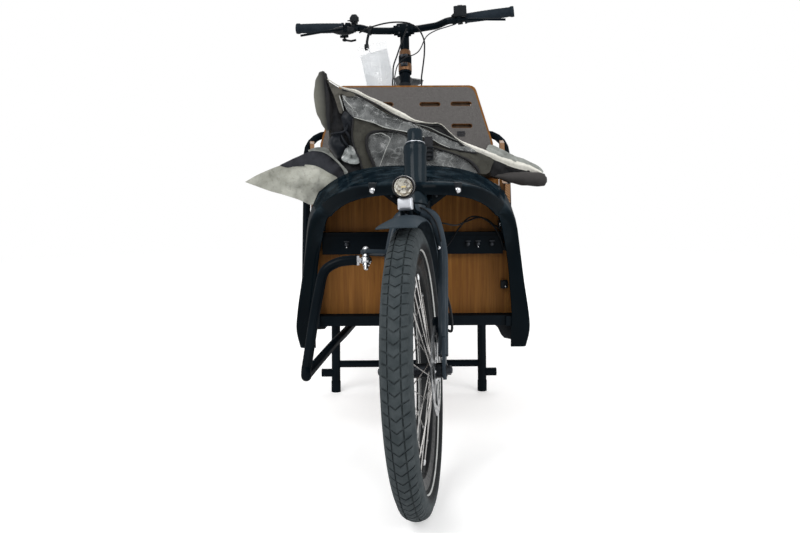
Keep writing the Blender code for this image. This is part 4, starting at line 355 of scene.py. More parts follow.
def clear_film(name, dark, light, alpha):
    """Crumpled see-through window of soft plastic, whitened along its creases."""
    look = Finish(name, dark, 0.2, specular=0.4)
    fold = look.grain(0.045, 2.5, rough=0.5)
    away = look.maths("ABSOLUTE", look.maths("SUBTRACT", fold, 0.5))
    crease = look.spread(away, 1.0, 0.0, 0.0, 0.016)
    cloud = look.spread(look.grain(0.03, 4), 0.0, 0.6)
    base = look.mix(cloud, dark, light)
    bright = tuple(min(1.0, 1.9 * part) for part in light)
    look.link(look.mix(look.maths("MULTIPLY", crease, 0.5), base, bright), "Base Color")
    look.link(look.spread(look.grain(0.03, 4), alpha - 0.15, alpha + 0.15), "Alpha")
    look.link(look.spread(look.grain(0.02, 3), 0.12, 0.34), "Roughness")
    look.bump(fold, 0.004)
    look.bump(look.grain(0.012, 2), 0.0006)
    return look.material


def rolled(name, light, dark, low, high, axis, specular=0.25):
    """Rolled cloth that darkens along an axis, between two places in metres: painted shade on the roll's shaded side.
    """
    look = Finish(name, light, 0.7, specular=specular)
    where = look.vector("DOT_PRODUCT", "Value", i0=look.node("TexCoord").outputs["Object"], i1=axis)
    share = look.spread(where, 0.0, 1.0, low, high)
    mottled = look.mix(look.spread(look.grain(0.012, 5), 0.0, 0.5), light, tuple(0.7 * part for part in light))
    look.link(look.mix(share, mottled, dark), "Base Color")
    look.bump(look.grain(0.02, 3, (1, 1, 0.4)), 0.0012)
    look.bump(look.grain(0.0012, 2), 0.0001)
    return look.material


def metal(name, colour, roughness, size=0.004):
    look = Finish(name, colour, roughness, metallic=1.0)
    worn = look.grain(size, 4)
    dull = tuple(0.8 * part for part in colour)
    look.mottle(look.grain(0.03), dull, colour)
    look.link(look.spread(worn, roughness * 0.8, roughness * 1.4), "Roughness")
    look.bump(look.grain(0.0008, 2), 0.00003)
    return look.material


def tyre_rubber(centre, axle, wall_r):
    """Tread rubber with dust: paler on the tread's blocks, darker down the wall."""
    look = Finish("tyre_rubber", (0.03, 0.036, 0.04), 0.78, specular=0.12)
    dust = look.grain(0.02, 5)
    tread = look.ramp(dust, (0.3, (0.024, 0.031, 0.034)), (0.7, (0.046, 0.055, 0.059)))
    middle = look.vector("SUBTRACT", "Vector", i0=look.node("TexCoord").outputs["Object"], i1=centre)
    round_axle = look.vector("CROSS_PRODUCT", "Vector", i0=middle, i1=axle)
    radius = look.vector("LENGTH", "Value", i0=round_axle)
    wall = look.spread(radius, 1.0, 0.0, wall_r, wall_r + 0.012)
    look.link(look.mix(wall, tread, (0.007, 0.008, 0.009)), "Base Color")
    look.link(look.spread(look.grain(0.006, 3), 0.68, 0.88), "Roughness")
    look.bump(look.grain(0.0011, 3), 0.00022)
    return look.material


def plastic(name, dark, light, roughness=0.55, texture=0.0009):
    """Moulded plastic or rubber with a fine spark-eroded texture."""
    look = Finish(name, dark, roughness, specular=0.12)
    look.mottle(look.grain(0.03), dark, light)
    look.link(look.spread(look.grain(0.008, 3), roughness - 0.08, roughness + 0.1), "Roughness")
    look.bump(look.grain(texture, 2), 0.00012)
    return look.material


def glass(name, alpha):
    look = Finish(name, (0.85, 0.88, 0.9), 0.03, coat=0.5)
    look.set("Alpha", alpha)
    look.link(look.spread(look.grain(0.01, 3), 0.02, 0.08), "Roughness")
    return look.material


def card(name):
    look = Finish(name, (0.78, 0.79, 0.8), 0.35)
    look.mottle(look.grain(0.05), (0.7, 0.72, 0.74), (0.84, 0.85, 0.86))
    look.bump(look.grain(0.03, 2), 0.0015)
    return look.material


# Modelling


def mm_row(text):
    """Numbers in millimetres, as a tuple in metres."""
    return tuple(float(number) / 1000 for number in text.split())


def mm(text):
    """Rows of numbers in millimetres, with commas between the rows."""
    return [mm_row(row) for row in text.split(",")]


def places(text):
    """Places on the bike, from rows of x, y and z in millimetres."""
    return [at(*row) for row in mm(text)]


def section(text):
    """A turned shape's profile: rows of a radius in millimetres and the share of the way."""
    return [(radius, 1000 * share) for radius, share in mm(text)]


def polar(radius, angle):
    return (radius * cos(angle), radius * sin(angle))


def smooth_path(points, steps=6):
    """A Catmull-Rom curve through the points."""
    points = [Vector(point) for point in points]
    ends = [2 * points[0] - points[1], *points, 2 * points[-1] - points[-2]]
    made = []
    for a, b, c, d in zip(ends, ends[1:], ends[2:], ends[3:]):
        for i in range(steps):
            t = i / steps
            made.append(
                0.5 * (2 * b + (c - a) * t + (2 * a - 5 * b + 4 * c - d) * t**2 + (3 * b - a - 3 * c + d) * t**3)
            )
    return [*made, points[-1]]


def path_length(points):
    return sum((b - a).length for a, b in zip(points, points[1:]))


def frame_along(direction):
    """A turn that takes local Z to this direction."""
    return Vector(direction).to_track_quat("Z", "X").to_matrix().to_4x4()


def lathe(profile, steps, place=Matrix.Identity(4), closed=False):
    """Turns a profile of (radius, height) about local Z."""
    shape = bmesh.new()
    rings = []
    for radius, height in profile:
        count = 1 if radius < 1e-7 else steps
        turn = [2 * pi * i / steps for i in range(count)]
        rings.append([shape.verts.new((*polar(radius, angle), height)) for angle in turn])
    pairs = list(zip(rings, rings[1:]))
    if closed:
        pairs.append((rings[-1], rings[0]))
    for low, high in pairs:
        for i in range(steps):
            j = (i + 1) % steps
            corners = (low[i % len(low)], low[j % len(low)], high[j % len(high)], high[i % len(high)])
            corners = list(dict.fromkeys(corners))
            if len(corners) > 2:
                shape.faces.new(corners)
    bmesh.ops.recalc_face_normals(shape, faces=shape.faces)
    return moved(shape, place)


def turned(start, end, profile, steps=24):
    """A lathe shape between two points; heights in the profile are shares of the way."""
    way = Vector(end) - Vector(start)
    place = Matrix.Translation(start) @ frame_along(way)
    return lathe([(radius, share * way.length) for radius, share in profile], steps, place)


def rod(start, end, radius, sides=10):
    return turned(start, end, [(0, 0), (radius, 0), (radius, 1), (0, 1)], sides)


def dome(foot, direction, radius, tall, steps=20):
    """A round-headed bolt or cap."""
    direction = Vector(direction).normalized()
    arc = [polar(1, pi / 2 * i / 5) for i in range(5)]
    head = [*[(radius * a, 0.3 + 0.7 * b) for a, b in arc], (0, 1)]
    return turned(foot, Vector(foot) + direction * tall, [(0, 0), (radius, 0), *head], steps)


def socket_bolt(foot, direction, radius, tall):
    """A cylinder-head bolt with a hexagon recess."""
    top = Vector(foot) + Vector(direction).normalized() * tall
    hole = 0.5 * radius
    outer = turned(foot, top, [(0, 0), (radius, 0), (radius, 0.85), (0.88 * radius, 1), (hole, 1)], 20)
    inner = turned(top, top.lerp(Vector(foot), 0.6), [(hole, 0), (hole, 1), (0, 1)], 6)
    return merged(outer, inner)


def sweep(points, radius, sides=12):
    """A round tube along points; radius is one number or one for each point."""
    points = [Vector(point) for point in points]
    radii = radius if isinstance(radius, list) else [radius] * len(points)
    shape = bmesh.new()
    rings = []
    side = None
    for i, point in enumerate(points):
        along = (points[min(i + 1, len(points) - 1)] - points[max(i - 1, 0)]).normalized()
        if side is None:
            side = along.orthogonal().normalized()
        side = (side - along * side.dot(along)).normalized()
        other = along.cross(side)
        turn = [polar(radii[i], 2 * pi * k / sides) for k in range(sides)]
        rings.append([shape.verts.new(point + side * a + other * b) for a, b in turn])
    skin(shape, [[*ring, ring[0]] for ring in rings])
    shape.faces.new(rings[0])
    shape.faces.new(rings[-1])
    bmesh.ops.recalc_face_normals(shape, faces=shape.faces)
    return shape


def block(low, high, bevel=0.001, segments=2):
    shape = bmesh.new()
    bmesh.ops.create_cube(shape, size=1)
    low, high = Vector(low), Vector(high)
    for vert in shape.verts:
        vert.co = (low + high) / 2 + Vector(a * b for a, b in zip(vert.co, high - low))
    bmesh.ops.bevel(shape, geom=shape.edges[:], offset=bevel, segments=segments, affect="EDGES", profile=0.5)
    return shape


def skin(shape, rows):
    """Quads between rows of vertices."""
    for low, high in zip(rows, rows[1:]):
        for k in range(len(low) - 1):
            shape.faces.new((low[k], low[k + 1], high[k + 1], high[k]))


def moved(shape, place):
    shape.transform(place)
    return shape


def as_mesh(name, shape):
    mesh = bpy.data.meshes.new(name)
    shape.to_mesh(mesh)
    shape.free()
    return mesh


def prism(outline, thickness, place, bevel=0.0):
    """A closed outline in local XY, thickened along local Z from 0."""
    shape = bmesh.new()
    base = shape.faces.new([shape.verts.new((x, y, 0)) for x, y in outline])
    made = bmesh.ops.extrude_face_region(shape, geom=[base])
    for item in made["geom"]:
        if isinstance(item, bmesh.types.BMVert):
            item.co.z += thickness
    bmesh.ops.recalc_face_normals(shape, faces=shape.faces)
    if bevel:
        bmesh.ops.bevel(shape, geom=shape.edges[:], offset=bevel, segments=2, affect="EDGES", profile=0.5)
    return moved(shape, place)


def merged(*shapes):
    first = shapes[0]
    for other in shapes[1:]:
        mesh = as_mesh("part", other)
        first.from_mesh(mesh)
        bpy.data.meshes.remove(mesh)
    return first


# Each finish: its maker, its name and what the maker takes; colours are thousandths of red, green and blue.
FINISHES = (
    (paint, "black_paint", "1.6 3.6 5.6", "3.6 6.6 9.6", 0.34, 0.08),
    # The fork's blue-black paint is made much lighter than the frame's black: painted sheen along its legs.
    (paint, "fork_paint_with_painted_sheen", "20 28.5 37", "31 42.5 54", 0.26, 0.22),
    (paint, "fender_matt", "27 37 46", "40 52 62", 0.65, 0.05),
    (paint, "head_paint", "7 12.5 17", "11.5 19 25", 0.2, 0.16),
    (hood_gloss, "hood_gloss"),
    (plywood, "wood_front", (0, 1, 0)),
    (plywood, "wood_side", (1, 0, 0)),
    (plywood, "wood_rear", (0, 0.957, -0.291), 0.1),
    (plywood, "wood_floor", (0, 0, 1), 0.15),
    (felt, "felt", "68 64 62", "135 128 124"),
    (felt, "seat_fabric", "30 30 32", "60 60 64", 0.0011),
    (woven, "canvas_olive", "60 56 46", "115 110 95", "35 33 28"),
    (woven, "canvas_pale", "330 335 290", "520 525 470", "210 210 180"),
    # This black cloth serves the real trim round the arch window and also the painted shadow lines under the hem and
    # the upper window.
    (woven, "black_trim_and_painted_shadow", "8 8 9", "18 18 20", "4 4 4", 0.0006, 0.6),
    (clear_film, "film", "75 80 82", "210 218 215", 0.72),
    (clear_film, "film_bright", "200 220 220", "550 580 570", 0.75),
    (plastic, "film_edge", "260 270 260", "460 470 450", 0.35, 0.003),
    (woven, "canvas_grey", "190 200 185", "330 345 325", "130 135 125"),
    (woven, "band", "34 33 27", "66 65 54", "18 17 14"),
    (woven, "hem", "660 650 580", "820 800 740", "500 490 430", 0.0006),
    (woven, "slate", "20 22 28", "32 34 42", "14 15 18", 0.0007, 0.7),
    (woven, "webbing", "12 13 16", "24 26 30", "8 8 9", 0.0011, 0.7),
    (woven, "cover_dark", "4 5 7", "14 14 15", "3 3 4", 0.0007, 0.7),
    (plastic, "cover_sheen", "4 6 9", "12 14 18", 0.42, 0.0012),
    # The rolls darken towards one side as painted shade: the left roll to the right, over the cloth's dark inner side,
    # and the right roll downwards to its underside.
    (rolled, "roll_left", "165 165 140", "7 7 7", -0.121, -0.09, (1, 0, 0.14)),
    (rolled, "roll_right", "40 37 36", "12 12 12", -0.606, -0.574, (0, 0, -1)),
    (glass, "film_sleeve", 0.25),
    (card, "card"),
    (metal, "steel", "550 560 570", 0.28),
    (metal, "dark_steel", "40 44 50", 0.38),
    (metal, "chrome", "500 510 530", 0.16),
    (metal, "satin", "580 600 640", 0.42),
    (metal, "spoke", "400 390 380", 0.28),
    (metal, "disc", "210 220 230", 0.28),
    (metal, "chain", "260 250 240", 0.32, 0.002),
    (metal, "bronze", "160 85 45", 0.38),
    # The lamp reflector's three tones are a painted reflection, bright at the upper left and amber at the lower right.
    (plastic, "reflector", "520 500 440", "900 880 800", 0.25),
    (plastic, "lamp_reflection_pale", "200 170 120", "360 320 240", 0.25),
    (plastic, "lamp_reflection_amber", "45 33 15", "140 100 50", 0.25),
    (plastic, "rim", "3 4 5", "6 7.5 8.5", 0.4),
    (metal, "hub", "16 18 21", 0.34),
    (plastic, "grip", "7 12 18", "13 20 28", 0.72),
    (plastic, "cable", "4 5 6", "9 10 12", 0.42),
    (plastic, "black_plastic", "4 6 8", "9 11 14", 0.5),
    (plastic, "gloss_black", "5 5 6", "10 10 11", 0.14, 0.003),
    (plastic, "saddle", "5 7 9", "11 14 17", 0.58, 0.0016),
    (plastic, "button", "100 100 110", "160 160 170", 0.5),
    (woven, "strap_brown", "40 24 14", "85 55 34", "24 15 9"),
    (plastic, "lamp_yellow", "550 420 160", "700 560 250", 0.3),
    (plastic, "stripe", "360 370 360", "500 510 500", 0.35, 0.0012),
    (glass, "glass", 0.12),
)
LOOKS = {}


def piece(name, shape, look, body="frame", angle=35, replaces=(), at_rest=False):
    """A bmesh becomes a piece on its body, smooth where its faces meet at less than the angle.

    On a body that steers it is modelled straight ahead and turned to rest here, unless it is at rest already.
    """
    if body in STEERED and not at_rest:
        shape.transform(STEERED[body])
    mesh = as_mesh(name, shape)
    mesh.shade_smooth()
    if angle < 180:
        mesh.set_sharp_from_angle(angle=radians(angle))
    return ridden(linked(name, mesh), look, body, replaces)


def ridden(obj, look, body, replaces):
    """Gives an object its finish, slot and body."""
    finish = LOOKS[look] if isinstance(look, str) else look
    obj.data.materials.append(finish)
    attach(obj, body)
    if replaces:
        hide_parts(*replaces)
    return obj


def apply_modifiers(obj):
    graph = bpy.context.evaluated_depsgraph_get()
    made = bpy.data.meshes.new_from_object(obj.evaluated_get(graph))
    obj.modifiers.clear()
    obj.data = made


# Wheels


def wheel_place(centre):
    """Local Z is the axle, local X points up."""
    return Matrix.Translation(centre) @ Matrix(((0, 0, 1, 0), (0, -1, 0, 0), (1, 0, 0, 0), (0, 0, 0, 1)))


RUBBER = 0.0024
GROOVE = 0.0033


def casing(radius, width, seat_r):
    """Half the tyre's section as (radius, x), from the crown to the bead."""
    middle_r = radius - width / 2
    arc = [polar(width / 2 - RUBBER, radians(degrees)) for degrees in range(0, 106, 7)]
    return [*[(middle_r + a, b) for a, b in arc], (seat_r + 0.0065, 0.015), (seat_r + 0.0015, 0.0136)]


def treaded_tyre(name, centre, radius, width, seat_r, pitches, look, body):
    """Casing, and three rows of blocks that are cut by chevron grooves."""
    half = casing(radius, width, seat_r)
    profile = [*reversed(half), *[(r, -x) for r, x in half[1:]]]
    shape = lathe(profile, 2 * pitches, closed=True)
    round_r = width / 2
    middle_r = radius - round_r
    scale = width / 0.058
    rows = ((-0.0092, 0.0092, 8), (0.0119, 0.0266, 6))
    pitch = 2 * pi / pitches

    def rise(across):
        """How far the cross groove has run up the tyre at this distance from its middle."""
        away = abs(across) / scale
        return -0.0075 * min(away / 0.0095, 1) - 0.42 * max(away - 0.0095, 0)

    def surface(across, angle, depth):
        lean = across / round_r
        r = middle_r + (round_r - depth) * cos(lean)
        return Vector((*polar(r, angle), (round_r - depth) * sin(lean)))

    for first, last, steps in rows:
        for hand in (1, -1) if first > 0 else (1,):
            for i in range(pitches):
                grid = []
                for k in range(steps + 1):
                    across = scale * hand * (first + (last - first) * k / steps)
                    ends = [
                        pitch * (i + share) + (rise(across) + sign * GROOVE / 2) / radius
                        for share, sign in ((0, 1), (1, -1))
                    ]
                    row = []
                    for j in range(3):
                        turn = ends[0] + (ends[1] - ends[0]) * j / 2
                        worn = 0.00025 if k in (0, steps) or j in (0, 2) else 0
                        if first > 0 and k > steps - 2:
                            worn = 0.0008 if k < steps else 0.002
                        row.append([shape.verts.new(surface(across, turn, depth)) for depth in (worn, 1.3 * RUBBER)])
                    grid.append(row)
                for k in range(steps):
                    for j in range(2):
                        corners = ((k, j), (k + 1, j), (k + 1, j + 1), (k, j + 1))
                        shape.faces.new([grid[a][b][0] for a, b in corners])
                rim = [*[(k, 0) for k in range(steps + 1)], (steps, 1), *[(k, 2) for k in range(steps, -1, -1)], (0, 1)]
                for (a, b), (c, d) in zip(rim, rim[1:] + rim[:1]):
                    shape.faces.new((grid[a][b][0], grid[c][d][0], grid[c][d][1], grid[a][b][1]))
    bmesh.ops.recalc_face_normals(shape, faces=shape.faces)
    shape.transform(wheel_place(centre))
    piece(name, shape, look, body, 40, (name.replace("_treaded", ""),))


def wall_stripes(name, centre, radius, width, seat_r, body):
    """The reflective line on both sides of a tyre."""
    bead, shoulder = [Vector(point) for point in casing(radius, width, seat_r)[-2:-4:-1]]
    bands = []
    for hand in (1, -1):
        edges = (bead.lerp(shoulder, 0.3), bead.lerp(shoulder, 0.46))
        profile = [(r + 0.0002, hand * (x + 0.0007)) for r, x in edges]
        profile += [(r, x - hand * 0.0006) for r, x in reversed(profile)]
        bands.append(lathe(profile, 120, wheel_place(centre), closed=True))
    piece(name, merged(*bands), "stripe", body)


def laced_wheel(name, centre, seat_r, hub_width, body):
    """Rim, spokes with elbows and nipples, and hub, in place of the plain wheel."""
    place = wheel_place(centre)
    rim_x = 0.0155
    base_r = seat_r - 0.016
    hook = [(seat_r + a, rim_x - b) for a, b in mm("5.2 0.4, 5.2 1.2, 4.6 1.6, 0 1.5")]
    well = [
        (base_r, 0.55 * rim_x), (seat_r - 0.0144, 0.75 * rim_x),
        (seat_r - 0.0048, 0.98 * rim_x), (seat_r + 0.0046, rim_x),
    ]
    profile = [*hook, *[(r, -x) for r, x in reversed(hook)], *[(r, -x) for r, x in reversed(well)], *well]
    piece(name + "_rim", lathe(profile, 112, place, closed=True), "rim", body, replaces=(name,))

    spokes = 36
    flange_x = 0.3 * hub_width
    flange_r = 0.022
    wires = []
    nipples = []
    for i in range(spokes):
        side = 1 if i % 2 else -1
        trail = 1 if (i // 2) % 2 else -1
        rim_angle = 2 * pi * i / spokes
        hub_angle = rim_angle + trail * radians(49)
        shift = trail * 0.0024
        start = Vector((*polar(flange_r - 0.0025, hub_angle), side * (flange_x + shift)))
        stop = Vector((*polar(base_r + 0.002, rim_angle), side * 0.003))
        along = (stop - start).normalized()
        wires.append(rod(start, stop - along * 0.01, 0.00095, 8))
        elbow = start - Vector((0, 0, side * shift * 0.4))
        wires.append(dome(elbow, (0, 0, side * trail), 0.0018, 0.0016, 8))
        shape = section("0 0, 1.4 0, 1.9 0.2, 1.9 0.9, 2.5 1, 0 1")
        nipples.append(turned(stop - along * 0.013, stop, shape, 8))
    piece(name + "_spokes", moved(merged(*wires), place), "spoke", body)
    piece(name + "_nipples", moved(merged(*nipples), place), "steel", body)

    end = hub_width / 2 - 0.0008
    half = [
        (0.013, 0), (0.013, flange_x - 0.008), (0.0165, flange_x - 0.0035), (flange_r, flange_x - 0.0022),
        (flange_r + 0.0004, flange_x), (flange_r, flange_x + 0.0022), (0.0165, flange_x + 0.003),
        (0.015, end - 0.01), (0.0135, end - 0.009), (0.0135, end - 0.0008), (0.0125, end), (0.007, end),
    ]
    profile = [*[(r, -x) for r, x in reversed(half[1:])], *half, (0.007, -end)]
    piece(name + "_hub", lathe(profile, 40, place, closed=True), "hub", body)
    foot = Vector((base_r, 0, 0))
    shape = section("0 0, 3.8 0, 3.8 0.4, 2.6 0.42, 2.6 0.8, 3.4 0.82, 3.4 1, 0 1")
    valve = turned(foot, foot - Vector((0.034, 0, 0)), shape, 12)
    piece(name + "_valve", moved(valve, place @ Matrix.Rotation(pi / spokes, 4, "Z")), "hub", body)


def flat_disc(name, loops, thickness, place, look, body, replaces=()):
    """A sheet part from closed loops of (x, y); inner loops are cut out."""
    curve = bpy.data.curves.new(name, "CURVE")
    curve.dimensions = "2D"
    curve.fill_mode = "BOTH"
    curve.extrude = thickness / 2
    for loop in loops:
        spline = curve.splines.new("POLY")
        spline.points.add(len(loop) - 1)
        for point, (x, y) in zip(spline.points, loop):
            point.co = (x, y, 0, 1)
        spline.use_cyclic_u = True
    source = linked(name + "_outline", curve)
    graph = bpy.context.evaluated_depsgraph_get()
    mesh = bpy.data.meshes.new_from_object(source.evaluated_get(graph))
    bpy.data.objects.remove(source)
    shape = bmesh.new()
    shape.from_mesh(mesh)
    bpy.data.meshes.remove(mesh)
    bmesh.ops.remove_doubles(shape, verts=shape.verts, dist=1e-6)
    piece(name, moved(shape, place), look, body, 30, replaces)


def circle(radius, count, centre=(0, 0)):
    arc = [polar(radius, 2 * pi * i / count) for i in range(count)]
    return [(centre[0] + a, centre[1] + b) for a, b in arc]


def brake_disc(name, centre, radius, x, body, replaces=()):
    """A vented ring on six swept arms."""
    loops = [circle(radius, 96), circle(0.0142, 32)]
    for arm in range(6):
        start = 2 * pi * arm / 6
        wide = 2 * pi / 6 - 0.3
        inner = [polar(0.32 * radius, start + wide * t / 6) for t in range(7)]
        outer = [polar(0.78 * radius, start + wide + 0.25 - wide * t / 8) for t in range(9)]
        loops.append([*inner, *outer])
    for i in range(36):
        loops.append(circle(0.0026, 10, polar(radius * (0.86 if i % 2 else 0.93), 2 * pi * i / 36)))
    place = wheel_place(centre + Vector((x, 0, 0)))
    flat_disc(name, loops, 0.0018, place, "disc", body, replaces)
    feet = [Vector((*polar(0.0175, 2 * pi * (i + 0.4) / 6), 0.0009)) for i in range(6)]
    bolts = [dome(foot, (0, 0, 1), 0.003, 0.0018, 12) for foot in feet]
    piece(name + "_bolts", moved(merged(*bolts), place), "chrome", body)


FRONT_TYRE = (0.26, 0.058, 0.203)
REAR_TYRE = (0.335, 0.05, 0.2795)
CHAIN_PITCH = 0.0127
RING_TEETH = 38
COG_TEETH = 20


def wheels():
    front = tyre_rubber(FORK_REST @ FRONT_AXLE, REST_TURN @ ACROSS, 0.222)
    treaded_tyre("front_tyre_treaded", FRONT_AXLE, 0.2597, *FRONT_TYRE[1:], 84, front, "front_wheel")
    wall_stripes("front_stripes", FRONT_AXLE, *FRONT_TYRE, "front_wheel")
    laced_wheel("front_wheel", FRONT_AXLE, FRONT_TYRE[2], 0.1, "front_wheel")
    brake_disc("front_disc", FRONT_AXLE, 0.08, 0.0372, "front_wheel", ("front_rotor",))
    rear = tyre_rubber(REAR_AXLE, ACROSS, 0.3)
    treaded_tyre("rear_tyre_treaded", REAR_AXLE, *REAR_TYRE, 110, rear, "rear_wheel")
    wall_stripes("rear_stripes", REAR_AXLE, *REAR_TYRE, "rear_wheel")
    laced_wheel("rear_wheel", REAR_AXLE, REAR_TYRE[2], 0.135, "rear_wheel")
    brake_disc("rear_disc", REAR_AXLE, 0.09, 0.0525, "rear_wheel")
    pitch_r = wheel_pitch_r(COG_TEETH)
    outline = []
    for i in range(COG_TEETH):
        for share, reach in ((0, -0.0035), (0.3, -0.0022), (0.5, -0.0004), (0.7, -0.0022)):
            outline.append(polar(pitch_r + reach, 2 * pi * (i + share) / COG_TEETH))
    windows = [circle(0.0055, 14, polar(0.026, 2 * pi * k / 6)) for k in range(6)]
    place = wheel_place(REAR_AXLE + Vector((-0.056, 0, 0)))
    flat_disc("rear_cog", [outline, circle(0.0135, 24), *windows], 0.0022, place, "disc", "rear_wheel")


def wheel_pitch_r(teeth):
    """The radius on which a chain wheel carries the chain's pins."""
    return CHAIN_PITCH / 2 / sin(pi / teeth)


# Hood


HOOD_POWER = 2.85
HOOD_SPRING_Z = 0.4
HOOD_INNER = (0.208, 0.569, mm_row("215 215.5 216.5 211 204 188"))
HOOD_FRONT = (0.24, 0.593, mm_row("249 257.2 255 244 235 223.5"))
HOOD_REAR = (0.257, 0.626, mm_row("255 263 263 252 245 237"))
HOOD_ARM_Z = mm_row("226 262 300 370 435 507")


def hood_outline(edge, arch_steps=26):
    """From the foot of the left arm over the top to the foot of the right."""
    half, top, arm = edge
    left = [Vector((x, z)) for x, z in zip(arm, HOOD_ARM_Z)]
    for i in range(1, arch_steps):
        angle = pi / 2 * i / arch_steps
        x = half * cos(angle) ** (2 / HOOD_POWER)
        z = HOOD_SPRING_Z + (top - HOOD_SPRING_Z) * sin(angle) ** (2 / HOOD_POWER)
        if i > arch_steps * 0.4:
            left.append(Vector((x, z)))
    whole = [*left, Vector((0, top)), *[Vector((-point.x, point.y)) for point in reversed(left)]]
    return [tuple(point) for point in smooth_path(whole, 3)]


def hood_front_y(x):
    return 0.135 + 0.245 * min(abs(x) / 0.2, 1) ** 1.7


def hood_rear_y(x, z):
    if z < HOOD_SPRING_Z:
        return 0.47
    return 0.58 - 0.11 * min(abs(x) / HOOD_REAR[0], 1) ** 3


def rounded_corner(before, corner, after, reach, steps=5):
    """Points of an arc that replaces a corner."""
    first = corner + (before - corner).normalized() * reach
    last = corner + (after - corner).normalized() * reach
    made = []
    for i in range(steps + 1):
        t = i / steps
        made.append(first * (1 - t) ** 2 + corner * 2 * t * (1 - t) + last * t**2)
    return made


def hood():
    """The moulded hood, with a rounded edge between its flange and its skin."""
    inner = [at(x, hood_front_y(x), z) for x, z in hood_outline(HOOD_INNER)]
    front = [at(x, hood_front_y(x), z) for x, z in hood_outline(HOOD_FRONT)]
    rear = [at(x, hood_rear_y(x, z), z) for x, z in hood_outline(HOOD_REAR)]
    shape = bmesh.new()
    rows = []
    for a, b, c in zip(inner, front, rear):
        across = [a, a.lerp(b, 0.5), *rounded_corner(a, b, c, 0.009), b.lerp(c, 0.35), b.lerp(c, 0.7), c]
        rows.append([shape.verts.new(point) for point in across])
    skin(shape, rows)
    obj = piece("hood", shape, "hood_gloss", angle=180, replaces=("front_arch",))
    wall = obj.modifiers.new("wall", "SOLIDIFY")
    wall.thickness = 0.004
    wall.offset = -1
    wall.use_even_offset = True
    edge = obj.modifiers.new("edge", "BEVEL")
    edge.width = 0.0012
    edge.segments = 2
    edge.angle_limit = radians(50)
    bore = rod(on_axis(FRONT_FOOT_Y, 0.5), on_axis(FRONT_FOOT_Y, 0.7), 0.0235, 48)
    cutter = linked("cutter", as_mesh("cutter", bore))
    hole = obj.modifiers.new("hole", "BOOLEAN")
    hole.operation = "DIFFERENCE"
    hole.object = cutter
    apply_modifiers(obj)
    bpy.data.objects.remove(cutter)
    obj.data.shade_smooth()
    obj.data.set_sharp_from_angle(angle=radians(38))


def hood_fittings():
    """The hood's two bolts in their mounts, and the gusset of the head tube."""
    chrome = []
    mounts = []
    for hand in (-1, 1):
        x = hand * 0.0825
        foot = at(x, hood_front_y(x), 0.5765)
        face = Vector((hand * 0.25, -1, 0.05)).normalized()
        chrome.append(dome(foot, face, 0.0066, 0.007))
        washer = section("0 0, 8.5 0, 8.5 0.8, 0 1")
        mounts.append(turned(foot - face * 0.001, foot + face * 0.0015, washer, 24))
        tab = block((-0.0085, -0.0045, 0.005), (0.0085, 0.003, 0.015), 0.0015)
        mounts.append(moved(tab, Matrix.Translation(foot) @ Matrix.Rotation(hand * 0.22, 4, "Z")))
    piece("hood_bolts", merged(*chrome), "chrome")
    piece("hood_bolt_mounts", merged(*mounts), "black_plastic")
    sides = mm("31.5 543.5, 64 568, 72 575.5, 66 581.5")
    outline = [*sides, *[(-x, z) for x, z in reversed(sides)]]
    plate = prism(outline, 0.005, Matrix.Translation(at(0, 0.199, 0)) @ FRONT_VIEW, 0.0008)
    piece("column_gusset", plate, "black_paint")
    screws = [dome(at(x, 0.1942, 0.5655), (0, -1, 0), 0.0034, 0.0022, 12) for x in (-0.045, 0.041)]
    piece("gusset_screws", merged(*screws), "dark_steel")


# Fork, fenders and steering rod


def bent(corners, reach):
    """Straight runs with a curve at each corner."""
    corners = [Vector(corner) for corner in corners]
    path = [corners[0]]
    for before, corner, after in zip(corners, corners[1:], corners[2:]):
        most = 0.48 * min((before - corner).length, (after - corner).length)
        path += rounded_corner(before, corner, after, min(reach, most), 6)
    return [*path, corners[-1]]


def hull(circles, steps=28):
    """The outline round several circles of (x, y, radius)."""
    points = []
    for x, y, radius in circles:
        points += [Vector(point) for point in circle(radius, steps, (x, y))]
    return [tuple(points[i]) for i in geometry.convex_hull_2d(points)]


def steering_plane(foot_y, along):
    """Local X is side, local Y is ahead, and local Z runs down the steering axis."""
    middle = at(0, foot_y, 0) + UP * along
    return Matrix.Translation(middle) @ Matrix((ACROSS, AHEAD, -UP)).transposed().to_4x4()


